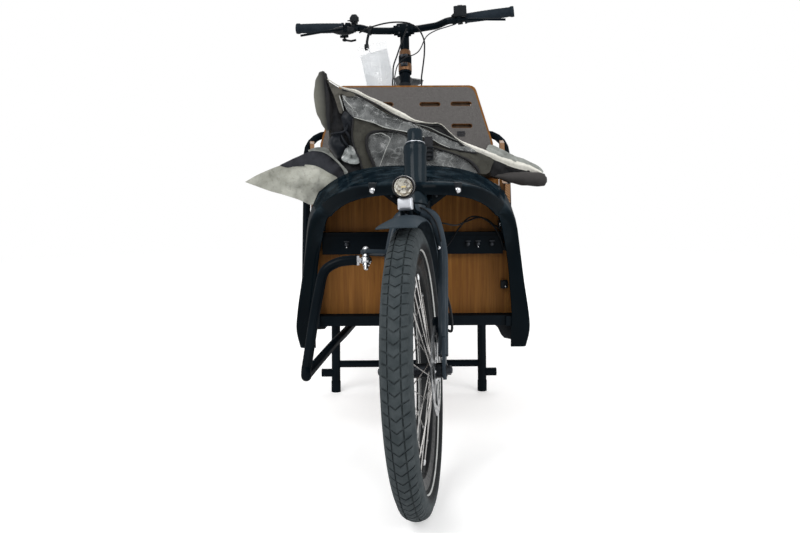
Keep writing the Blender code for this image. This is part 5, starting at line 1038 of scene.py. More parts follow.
def fork():
    """Crown and legs as one bent tube each, drop-outs, steering arm, mounts and the headset's cap."""
    crown = on_axis(FRONT_FOOT_Y, 0.5338)
    tubes = []
    plates = []
    nuts = [rod(at(-0.053, 0, 0.26), at(0.053, 0, 0.26), 0.006, 20)]
    for hand in (-1, 1):
        near = [crown + Vector((hand * -0.004, 0, 0)), crown + Vector((hand * 0.034, -0.001, -0.003))]
        path = bent([*near, at(hand * 0.051, 0.118, 0.47), at(hand * 0.051, 0.007, 0.285)], 0.04)
        last = len(path) - 1
        tubes.append(sweep(path, [0.0125 - 0.0032 * min(1, 1.6 * i / last) for i in range(last + 1)], 22))
        tip = [polar(0.017, radians(degrees)) for degrees in range(190, 351, 16)]
        outline = [(0.002, 0.058), *tip, (0.022, 0.058)]
        low_x = min(hand * 0.05, hand * 0.056)
        plates.append(prism(outline, 0.006, Matrix.Translation(at(low_x, 0, 0.26)) @ TO_AXLE, 0.0008))
        nuts.append(rod(at(hand * 0.055, 0, 0.26), at(hand * 0.0575, 0, 0.26), 0.0112, 24))
        nuts.append(rod(at(hand * 0.0575, 0, 0.26), at(hand * 0.0645, 0, 0.26), 0.009, 6))
        nuts.append(dome(at(hand * 0.0645, 0, 0.26), (hand, 0, 0), 0.0062, 0.003))
    profile = section("0 0, 16.5 0, 19.5 0.35, 19.5 1, 0 1")
    race = turned(on_axis(FRONT_FOOT_Y, 0.532), on_axis(FRONT_FOOT_Y, 0.5455), profile, 32)
    tab = block(crown + Vector((-0.009, -0.006, -0.036)), crown + Vector((0.009, 0.006, 0)), 0.002)
    mount = block(at(0.0483, 0.03, 0.312), at(0.0555, 0.076, 0.336), 0.002)
    piece("fork_legs", merged(*tubes, race, tab, mount, *plates), "fork_paint_with_painted_sheen", "fork", 40, ("fork",))
    piece("fork_nuts", merged(*nuts), "dark_steel", "fork")

    outline = hull(((-0.045, 0.004, 0.0135), (-BALL_SIDE, BALL_AHEAD, 0.0105)))
    arm = prism(outline, 0.008, steering_plane(FRONT_FOOT_Y, 0.4935), 0.001)
    piece("steering_arm", arm, "fork_paint_with_painted_sheen", "fork")
    ball = at(0, FRONT_FOOT_Y, 0) - ACROSS * BALL_SIDE + AHEAD * BALL_AHEAD
    nut = section("0 0, 6.6 0, 6.6 0.4, 4.5 0.45, 4.5 0.9, 3 1, 0 1")
    stud = [
        dome(ball + UP * 0.4935, UP, 0.0068, 0.008),
        rod(ball + UP * 0.4795, ball + UP * 0.4855, 0.0062, 20),
        turned(ball + UP * 0.4685, ball + UP * 0.456, nut, 20),
    ]
    piece("steering_stud", merged(*stud), "chrome", "fork")
    bolt = dome(at(0.0415, 0.098, 0.4712), (-0.2, -1, 0.1), 0.0036, 0.003)
    piece("fork_bolt", bolt, "chrome", "fork", at_rest=True)

    low, high = on_axis(FRONT_FOOT_Y, 0.6612), on_axis(FRONT_FOOT_Y, 0.6922)
    cap = turned(low, high, section("0 0, 19.2 0, 19.2 0.13, 15 0.19, 15 0.92, 14 1, 0 1"), 48)
    piece("headset_cap", cap, "head_paint", "fork")
    ring = turned(low + UP * 0.0042, low + UP * 0.0054, section("18.5 0, 19.6 0.1, 19.6 0.9, 18.5 1"), 48)
    piece("headset_ring", ring, "satin", "fork")


def head_tube():
    low, high = on_axis(FRONT_FOOT_Y, 0.5463), on_axis(FRONT_FOOT_Y, 0.6607)
    profile = section("20.5 0, 22.8 0.01, 22.8 0.1, 21.6 0.13, 21.6 0.87, 22.8 0.9, 22.8 0.985, 20.5 1")
    piece("head_tube", turned(low, high, profile, 56), "head_paint")


def fender(name, axle, radius, half, start, sweep_angle, steps, look, body, replaces, flared=False):
    """A mudguard's arched strip with turned-down edges and rounded ends."""
    shape = bmesh.new()
    rows = []
    for i in range(steps + 1):
        angle = radians(start + sweep_angle * i / steps)
        from_end = min(i, steps - i) * radians(sweep_angle) / steps * radius
        width = half * sqrt(1 - 0.25 * max(0, 1 - from_end / 0.018) ** 2)
        lip = max(0, 1 - i / 7) ** 1.5 if flared else 0
        if flared and i < steps / 2:
            width = half * (1 + 0.02 * lip)
        row = []
        for k in range(-6, 7):
            share = k / 6
            reach = radius + 0.001 + 0.007 * lip - 0.0115 * (1 - 0.92 * lip) * abs(share) ** 2.6
            shift = width * share - 0.0045 * lip
            row.append(shape.verts.new(axle + Vector((shift, reach * sin(angle), reach * cos(angle)))))
        rows.append(row)
    skin(shape, rows)
    bmesh.ops.recalc_face_normals(shape, faces=shape.faces)
    bmesh.ops.solidify(shape, geom=shape.faces[:], thickness=0.002)
    piece(name, shape, look, body, 50, (replaces,))


def fenders():
    fender("fender_front", FRONT_AXLE, 0.2775, 0.034, -22, 107, 34, "fender_matt", "fork", "front_fender", True)
    fender("fender_rear", REAR_AXLE, 0.3552, 0.03, -62, 165, 44, "black_plastic", "frame", "rear_fender")


def tie_rod():
    """The bent steering rod with its chrome rod end."""
    x, y, z = FRONT_BALL.x, FRONT_BALL.y + MID_Y, FRONT_BALL.z
    corners = [
        (x - 0.0165, y, z), (x - 0.03, y, z), (-0.15, y, z - 0.0045), (-0.1735, y, z - 0.021),
        (-0.1835, y, z - 0.058), (-0.194, y, z - 0.11), (-0.2065, y, 0.262), (-0.21, y, 0.242),
        (-0.2092, 0.09, 0.231), (-0.208, 0.125, 0.229), (-0.19, 0.25, 0.235), (-0.17, 0.39, 0.24),
        (-0.151, 0.54, 0.24), (REAR_BALL.x - 0.0008, REAR_BALL.y + MID_Y - 0.006, REAR_BALL.z),
    ]
    bar = sweep(smooth_path([at(*corner) for corner in corners], 6), 0.0095, 20)
    eye = turned(REAR_BALL - UP * 0.0055, REAR_BALL + UP * 0.0055, section("4.5 0, 12 0, 12 1, 4.5 1, 4.5 0"), 32)
    piece("steering_rod", merged(bar, eye), "black_paint", "tie_rod", replaces=("tie_rod",))
    parts = []
    for way, start, stop, sides, profile in (
        (UP, -0.0058, 0.0058, 32, "5.5 0, 8.5 0, 10.8 0.25, 10.8 0.75, 8.5 1, 5.5 1"),
        (-ACROSS, 0.0095, 0.0175, 24, "0 0, 5.2 0, 5.2 0.35, 9.2 0.38, 9.6 0.95, 8.5 1, 0 1"),
        (UP, -0.0068, 0.0068, 24, "0 0, 4 0, 6.2 0.3, 6.8 0.5, 6.2 0.7, 4 1, 0 1"),
    ):
        parts.append(turned(FRONT_BALL + way * start, FRONT_BALL + way * stop, section(profile), sides))
    piece("rod_end_housing", merged(*parts), "chrome", "tie_rod", replaces=("rod_end",))


def lamp_bracket():
    """The bright bracket that carries the lamp on the crown."""
    place = Matrix.Translation(at(-0.0125, 0, 0)) @ TO_AXLE
    head = mm("-16 569, 8 569, 8 546.6, -12 546.6, -16 550")
    piece("lamp_holder", prism(head, 0.025, place, 0.0032), "satin", "fork", 40, ("lamp_bracket",))
    arm = mm("6 566, 40 561, 50 552, 64 545, 133.5 536.8, 133.5 530.8, 58 538, 6 547")
    studs = [rod(at(x, 0.001, 0.5475), at(x, 0.003, 0.534), 0.0046, 16) for x in (-0.0065, 0.0065)]
    plate = prism(arm, 0.021, Matrix.Translation(at(-0.0105, 0, 0)) @ TO_AXLE, 0.002)
    piece("lamp_arm", merged(plate, *studs), "black_paint", "fork", 40)


# Box


BACK_TILT = radians(16.9)


def backrest_place(forward):
    """Local X is across, local Y up the backrest's slope, and local Z forward of its plane."""
    slope = Vector((0, sin(BACK_TILT), cos(BACK_TILT)))
    ahead = Vector((0, -cos(BACK_TILT), sin(BACK_TILT)))
    middle = at(0, 0.92225, 0) + ahead * forward
    return Matrix.Translation(middle) @ Matrix((ACROSS, slope, ahead)).transposed().to_4x4()


def box_fittings():
    """Felt on the backrest, and the small metal parts that show inside the hood."""
    slope = 1 / cos(BACK_TILT)
    corners = mm("-249.5 590.5, 249.5 590.5, 249.5 685, 199.5 852.5, -199.5 852.5, -249.5 685")
    flat = [Vector((x, z * slope, 0)) for x, z in corners]
    middle = (flat[0] + flat[-1]) / 2
    rim = [(point.x, point.y) for point in bent([middle, *flat, middle], 0.022)[:-1]]
    loops = [rim]
    for x, down in mm("70 57, 163 56, 164 122"):
        for hand in (-1, 1):
            height = (0.858 - down) * slope
            loops.append(hull(((hand * x - 0.0245, height, 0.007), (hand * x + 0.0245, height, 0.007)), 20))
    flat_disc("backrest_felt", loops, 0.001, backrest_place(0.0239), "felt", "frame")

    straps = []
    for low_x, high_x, down in ((0.04, 0.192, 0.057), (0.134, 0.194, 0.122)):
        for hand in (-1, 1):
            near, far = sorted((hand * low_x, hand * high_x))
            low, high = ((0.858 - down) * slope + reach for reach in (-0.0125, 0.0125))
            outline = [(near, low), (far, low), (far, high), (near, high)]
            straps.append(prism(outline, 0.0014, backrest_place(0.01)))
    piece("belt_straps", merged(*straps), "strap_brown")
    tags = []
    for z, half in mm("717.5 11.5, 712 12.5, 706.5 11"):
        place = backrest_place(0.0244) @ Matrix.Translation((0.161, z * slope, 0))
        tags.append(moved(block((-half, -0.002, 0), (half, 0.002, 0.0028), 0.0008), place))
    piece("backrest_strap", merged(*tags), "webbing")

    bolts = []
    for x in mm_row("-146 122 144 175"):
        bolts.append(dome(at(x, 0.4058, 0.4523), (0, -1, 0), 0.0046, 0.003))
        bolts.append(block(at(x - 0.0055, 0.404, 0.4575), at(x + 0.0055, 0.406, 0.46), 0.0006))
    piece("mid_bar_bolts", merged(*bolts), "dark_steel")
    # The collar that joins the seat tube's foot to the beam.
    piece("seat_lug", rod(at(0, 1.5853, 0.42), at(0, 1.5732, 0.39), 0.019, 24), "black_paint")
    tips = [dome(at(x, 0.4025, 0.4462), (0, -1, 0), 0.0016, 0.0012, 12) for x in (-0.146, 0.144)]
    tips.append(dome(at(0.207, 0.414, 0.356), (0, -1, 0), 0.0022, 0.0014, 12))
    tips.append(block(at(-0.199, 0.414, 0.483), at(-0.196, 0.419, 0.493), 0.0008))
    tips.append(block(at(0.1925, 0.414, 0.49), at(0.195, 0.419, 0.4985), 0.0008))
    piece("box_bolts", merged(*tips), "chrome")
    blocks = [block(at(0.1965, 0.416, 0.351), at(0.212, 0.429, 0.369), 0.0012)]
    for x, z in mm("-199 490, 196 496, 205 444.9"):
        blocks.append(block(at(x - 0.0055, 0.419, z - 0.009), at(x + 0.0055, 0.429, z + 0.008), 0.001))
    place = Matrix.Translation(at(0, 0.424, 0)) @ FRONT_VIEW
    left = mm("178 274, 190.5 262.5, 198.5 246, 205 238.5, 229 233.5, 240 233.5, 240 274")
    right = mm("-230 274, -230 260, -198 261, -186 274")
    blocks += [prism(outline, 0.004, place, 0.0006) for outline in (left, right)]
    piece("box_brackets", merged(*blocks), "black_plastic")


# Lamp


def lamp():
    """Bezel, faceted reflector, light source and lens."""
    middle = at(0, -0.022, 0.588)
    back = Vector((0, 1, 0))
    profile = section("16.3 0.2, 16.6 0.03, 17.6 0, 18.8 0.01, 19.5 0.05, 19.5 0.86, 18 0.95, 0 1")
    bezel = turned(middle - back * 0.0012, middle + back * 0.034, profile, 48)
    piece("lamp_bezel", bezel, "gloss_black", "fork", 30, ("headlight_shell",))
    shape = bmesh.new()
    rings = []
    count = 14
    for number, (radius, depth) in enumerate(mm("16.1 1.5, 14.2 5, 11.2 8.5, 7.2 11.2, 3 12.5")):
        turn = [2 * pi * (i + 0.5 * (number % 2)) / count for i in range(count)]
        spots = [polar(radius, angle) for angle in turn]
        rings.append([shape.verts.new(middle + back * depth + Vector((x, 0, z))) for x, z in spots])
    for number, (outer, inner) in enumerate(zip(rings, rings[1:])):
        for i in range(count):
            j = (i + 1) % count
            a, b = (inner[j], outer[i]) if number % 2 else (inner[i], outer[j])
            shape.faces.new((outer[i], outer[j], a))
            shape.faces.new((b, inner[j], inner[i]))
    shape.faces.new(rings[-1])
    reflector = piece("lamp_reflector", shape, "reflector", "fork", 1)
    # The facets are not metal: each gets the bright, pale or amber tone by how high and how far left it sits, a painted
    # reflection of the lamp's surroundings.
    for look in ("lamp_reflection_pale", "lamp_reflection_amber"):
        reflector.data.materials.append(LOOKS[look])
    for number, face in enumerate(reflector.data.polygons):
        up = (face.center.z - middle.z) / 0.016
        side = (face.center.x - middle.x) / 0.016
        shade = 0.5 * up - 0.3 * side + 0.8 * noise.cell(Vector((1.7 * number, 0.3, 0.9)))
        face.material_index = 0 if shade > 0.42 else (1 if shade > 0.02 else 2)
    emitter = block(middle + Vector((-0.004, 0.0035, -0.0016)), middle + Vector((0.004, 0.012, 0.0016)), 0.0006)
    piece("lamp_emitter", emitter, "lamp_yellow", "fork")
    profile = section("16.3 0, 16.3 0.25, 13 0.65, 8 0.9, 0 1")
    lens = turned(middle + back * 0.0022, middle - back * 0.001, profile, 40)
    piece("lamp_lens", lens, "glass", "fork", 60, ("headlight_lens",))


# Drive


def chain():
    """Rollers and plates along the run round both chain wheels."""
    ring_r = wheel_pitch_r(RING_TEETH)
    cog_r = wheel_pitch_r(COG_TEETH)
    ring, cog = (Vector((point.y, point.z)) for point in (CRANK, REAR_AXLE))
    gap = cog - ring
    heading = atan2(gap.y, gap.x)
    lean = acos((ring_r - cog_r) / gap.length)
    run = sqrt(gap.length**2 - (ring_r - cog_r) ** 2)
    arcs = (2 * (pi - lean) * ring_r, 2 * lean * cog_r)
    total = 2 * run + sum(arcs)
    links = 2 * round(total / CHAIN_PITCH / 2)

    def on_run(share):
        """A point of the run: front arc, upper run, rear arc, lower run."""
        way = share * total % total
        if way < arcs[0]:
            return ring + Vector(polar(ring_r, heading - lean - way / ring_r))
        way -= arcs[0]
        if way < run:
            return ring + Vector(polar(ring_r, heading + lean)) + Vector(polar(way, heading - (pi / 2 - lean)))
        way -= run
        if way < arcs[1]:
            return cog + Vector(polar(cog_r, heading + lean - way / cog_r))
        way -= arcs[1]
        return cog + Vector(polar(cog_r, heading - lean)) + Vector(polar(way, heading + (pi / 2 - lean) + pi))

    pins = [on_run(i / links) for i in range(links)]
    parts = []
    for i, pin in enumerate(pins):
        for low_x, high_x, radius, sides in ((-0.0592, -0.0528, 0.0018, 8), (-0.0575, -0.0545, 0.0038, 12)):
            parts.append(rod((low_x, *pin), (high_x, *pin), radius, sides))
        step = pins[(i + 1) % links] - pin
        outline = []
        for centre, start in ((0, pi / 2), (step.length, -pi / 2)):
            arc = [polar(0.0036, start + pi * k / 4) for k in range(5)]
            outline += [(centre + a, b) for a, b in arc]
        near = 0.0021 if i % 2 else 0.0012
        for x in (-0.056 - near - 0.0008, -0.056 + near):
            turn = Matrix.Translation((x, *pin)) @ TO_AXLE @ Matrix.Rotation(atan2(step.y, step.x), 4, "Z")
            parts.append(prism(outline, 0.0008, turn))
    piece("chain_links", merged(*parts), "chain", replaces=("chain",))


# Handlebar


BAR_BEND = mm("45 1360 1057, 105 1360 1062, 140 1360.5 1074.5, 348 1364 1088")


def bar_point(x):
    """The handlebar's centre line on its straight outer run."""
    inner, outer = Vector(BAR_BEND[2]), Vector(BAR_BEND[3])
    point = inner.lerp(outer, (abs(x) - inner.x) / (outer.x - inner.x))
    return at(copysign(point.x, x), point.y, point.z)


def grips():
    for name, hand in (("grip_left", 1), ("grip_right", -1)):
        profile = section("11.3 0, 16.5 0, 16.8 0.012, 16.8 0.04, 15 0.048")
        for i in range(37):
            share = 0.06 + 0.85 * i / 36
            swell = 0.001 * sin(pi * (share - 0.06) / 0.85)
            profile.append((0.015 + swell - (0.0004 if i % 3 == 2 else 0), share))
        profile += section("15.2 0.925, 16.8 0.93, 16.8 0.985, 16 1, 0 1")
        sleeve = turned(bar_point(hand * 0.1945), bar_point(hand * 0.3495), profile, 28)
        piece(name + "_sleeve", sleeve, "grip", "handlebars", 30, (name,))


def stem_fittings():
    """The stem's hinge section with its bolts, and the faceplate bolts."""
    low = on_axis(REAR_FOOT_Y, 0.922)
    high = on_axis(REAR_FOOT_Y, 0.99)
    shell = turned(low, high, section("19.8 0, 21.2 0.03, 21.2 0.3, 20 0.36, 18.5 0.95, 17 1"), 36)
    piece("stem_sleeve", shell, "bronze", "handlebars")
    bolts = []
    for z in (0.938, 0.966):
        foot = on_axis(REAR_FOOT_Y, z, 0.0195)
        bolts.append(block(foot + Vector((-0.011, -0.006, -0.006)), foot + Vector((0.011, 0.004, 0.006)), 0.002))
        bolts.append(socket_bolt(foot + Vector((0, -0.004, 0)), AHEAD, 0.0045, 0.005))
    for x in (-0.013, 0.013):
        for z in (-0.01, 0.01):
            bolts.append(socket_bolt(at(x, 1.36, 1.057 + z) + Vector((0, -0.0185, 0)), (0, -1, 0), 0.0032, 0.0035))
    piece("stem_bolts", merged(*bolts), "dark_steel", "handlebars")
    profile = section("0 0, 7 0.03, 11.5 0.2, 14 0.45, 13 0.7, 8 0.92, 0 1")
    pod = turned(at(-0.229, 1.345, 1.0525), at(-0.156, 1.345, 1.0535), profile, 28)
    piece("shifter_pod", pod, "black_plastic", "handlebars", at_rest=True)


def tag():
    """A blank card in a clear sleeve, hung from a bracket under the bar."""
    middle = at(-0.088, 1.325, 0.94)
    turn = Matrix.Translation(middle) @ Matrix.Rotation(radians(-11), 4, "Y") @ Matrix.Rotation(radians(-6), 4, "X")
    columns, rows = 10, 14
    for name, half, low, high, thickness, bend, look in (
        ("tag_card", 0.044, -0.072, 0.052, 0.0004, 0.004, "card"),
        ("tag_sleeve", 0.047, -0.075, 0.078, 0.0014, 0.005, "film_sleeve"),
    ):
        shape = bmesh.new()
        grid = []
        for j in range(rows + 1):
            z = low + (high - low) * j / rows
            row = []
            for i in range(columns + 1):
                wave = bend * sin(3.1 * i / columns) + 0.3 * bend * sin(5 * j / rows)
                row.append(shape.verts.new((-half + 2 * half * i / columns, -wave, z)))
            grid.append(row)
        skin(shape, grid)
        bmesh.ops.solidify(shape, geom=shape.faces[:], thickness=thickness)
        piece(name, moved(shape, turn), look, "handlebars", 60)

    strap = places("-108 1352.5 1066, -113 1342 1045, -117 1336 1025, -118 1330 1005")
    hanger = sweep(smooth_path(strap, 5), 0.0042, 10)
    ring = turned(at(-0.124, 1.33, 1.008), at(-0.112, 1.33, 1.008), section("0 0, 10 0, 10 1, 0 1"), 18)
    profile = section("11.2 0, 15 0, 15 1, 11.2 1")
    collar = turned(at(-0.103, 1.36, 1.0617), at(-0.113, 1.3602, 1.065), profile, 24)
    piece("tag_bracket", merged(hanger, ring, collar), "black_plastic", "handlebars")
    loop = places("-118 1324 1004, -112 1318 1000, -106 1320 990, -112 1326 997")
    piece("tag_tie", sweep(smooth_path(loop, 6), 0.0016, 8), "card", "handlebars")


# Cloth


def loft(rows):
    """A grid of points through rows of control points, smooth both ways."""
    fine = [smooth_path(row, 4) for row in rows]
    columns = [smooth_path(column, 4) for column in zip(*fine)]
    return [list(row) for row in zip(*columns)]


def fold_noise(point, size, seed, stretch):
    """Sharp-crested creases, -0.5 to 0.5."""
    where = Vector(a * b / size for a, b in zip(point, stretch)) + Vector((seed, 3 * seed, 7 * seed))
    ridge = 1 - abs(noise.noise(where)) * 2
    return 0.6 * ridge + 0.4 * noise.noise(where * 2.3) - 0.3


def cloth(name, rows, look, crease, size, seed, stretch=(1, 1, 1), thick=0.0009, replaces=(), **rest):
    """A lofted sheet with creases."""
    grid = loft(rows)
    shape = bmesh.new()
    verts = [[shape.verts.new(point) for point in row] for row in grid]
    skin(shape, verts)
    bmesh.ops.recalc_face_normals(shape, faces=shape.faces)
    crumple(shape, crease, size, seed, stretch)
    area = sum(face.calc_area() for face in shape.faces)
    bmesh.ops.solidify(shape, geom=shape.faces[:], thickness=thick)
    obj = piece(name, shape, look, angle=70, replaces=replaces)


def crumple(shape, crease, size, seed, stretch):
    """Moves each point along its normal by the creases."""
    shape.normal_update()
    moves = [(vert, vert.normal * crease * fold_noise(vert.co, size, seed, stretch)) for vert in shape.verts]
    for vert, move in moves:
        vert.co += move


def evenly(points, spacing):
    """Points at equal steps along a closed or open line."""
    total = path_length(points)
    count = max(3, round(total / spacing))
    made = []
    walked, index = 0.0, 0
    for i in range(count):
        target = total * i / count
        while walked + (points[index + 1] - points[index]).length < target:
            walked += (points[index + 1] - points[index]).length
            index += 1
        step = points[index + 1] - points[index]
        made.append(points[index] + step * ((target - walked) / step.length))
    return made


def inside(x, z, loop):
    """Whether a point lies within a closed outline of (x, z)."""
    odd = False
    for (ax, az), (bx, bz) in zip(loop, loop[1:] + loop[:1]):
        if (az > z) != (bz > z) and x < ax + (z - az) * (bx - ax) / (bz - az):
            odd = not odd
    return odd


def patch(
    name, rim, look, crease, size, seed, spacing=0.007, inner=(), bulge=0.0, thick=0.0009, steps=4,
):
    """A piece of cloth or film from the outline that the photo shows.

    The rim and the inner points are (x, z, y); the cloth's depth runs smoothly between them.
    """
    known = [Vector(point) for point in (*rim, *inner)]
    loop = evenly(smooth_path([*rim, rim[0]], steps), spacing)
    outline = [(point.x, point.y) for point in loop]
    flat = [Vector(point) for point in outline]
    low_x, low_z = (min(point[k] for point in outline) for k in (0, 1))
    high_x, high_z = (max(point[k] for point in outline) for k in (0, 1))
    edge_points = list(flat)
    for row in range(int((high_z - low_z) / (0.87 * spacing)) + 1):
        for column in range(int((high_x - low_x) / spacing) + 1):
            x = low_x + (column + 0.5 * (row % 2)) * spacing
            z = low_z + (row + 0.5) * 0.87 * spacing
            spot = Vector((x, z))
            if inside(x, z, outline) and min((spot - point).length for point in edge_points) > 0.6 * spacing:
                flat.append(spot)
    rim_edges = [(i, (i + 1) % len(outline)) for i in range(len(outline))]
    spots, _, faces, *_ = geometry.delaunay_2d_cdt(flat, rim_edges, [], 1, 1e-6)
    shape = bmesh.new()
    verts = []
    for spot in spots:
        weights = [(max((spot - point.xy).length, 1e-5) ** -3, point.z) for point in known]
        depth = sum(weight * y for weight, y in weights) / sum(weight for weight, y in weights)
        away = min(min((spot - point).length for point in edge_points) / 0.014, 1)
        rise = bulge * (1 - (1 - away) ** 2)
        here = Vector((spot.x, depth, spot.y)) / size + Vector((seed, 3 * seed, 7 * seed))
        fold = noise.noise(here, noise_basis="VORONOI_F1") - 0.5
        fold += 0.5 * noise.noise(2.3 * here) + 0.25 * noise.noise(5.1 * here)
        side = Vector((noise.noise(here + Vector((9, 0, 0))), noise.noise(here + Vector((0, 9, 0)))))
        push = crease * (0.35 + 0.65 * away)
        shift = 0.5 * push * side
        verts.append(shape.verts.new(at(spot.x + shift.x, depth - rise - push * fold, spot.y + shift.y)))
    for face in faces:
        shape.faces.new([verts[i] for i in face])
    bmesh.ops.recalc_face_normals(shape, faces=shape.faces)
    area = sum(face.calc_area() for face in shape.faces)
    angle = geometry.box_fit_2d([tuple(spot) for spot in spots])
    plain = sum(geometry.area_tri(*[spots[i].to_3d() for i in face]) for face in faces)
    bmesh.ops.solidify(shape, geom=shape.faces[:], thickness=thick)
    obj = piece(name, shape, look, angle=60)
    return obj


def spread_out(points):
    """Places from (x, z, y) as the cover's outlines give them."""
    return [at(x, y, z) for x, z, y in points]


def seam(name, points, radius, look):
    """Piping, binding or a sharp fold; radius is one number, or a text with one in millimetres for each point."""
    steps = 5
    if isinstance(radius, str):
        given = mm_row(radius)
        radius = [a + (b - a) * i / steps for a, b in zip(given, given[1:]) for i in range(steps)]
        radius.append(given[-1])
    piece(name, sweep(smooth_path(spread_out(points), steps), radius, 8), look, angle=70)


def roll(name, centre, radii, look, crease, seed):
    """A rolled length of cloth: a closed sleeve with soft wrinkles."""
    steps = 5
    path = smooth_path(spread_out(mm(centre)), steps)
    grown = []
    for a, b in zip(radii, radii[1:]):
        grown += [a + (b - a) * (0.5 - 0.5 * cos(pi * i / steps)) for i in range(steps)]
    shape = sweep(path, [*grown, radii[-1]], 26)
    crumple(shape, crease, 0.035, seed, (1, 1, 0.5))
    area = sum(face.calc_area() for face in shape.faces)
    bmesh.ops.solidify(shape, geom=shape.faces[:], thickness=0.0009)
    obj = piece(name, shape, look, angle=75)


COVER_HEM = mm("""-198 832 618, -162 812 618, -131 804 618, -102 789 618, -76 777 618, -43 759 618, -15 745 618,
    11 733 618, 47 726.5 618, 66 726.5 618, 79 721 618, 92 708 618, 116 687 618, 144 671 618, 174 659 617,
    200 648 616, 220 638.5 615, 255 626.5 614, 283 619.5 613, 318 606 612""")
HEM_HALF = mm_row("1.2 1.8 3.8 3.6 4.4 5.8 5.4 3 1.2 1.1 1.2 1.4 2 5 5.6 7 7.4 8.4 8 3.4")


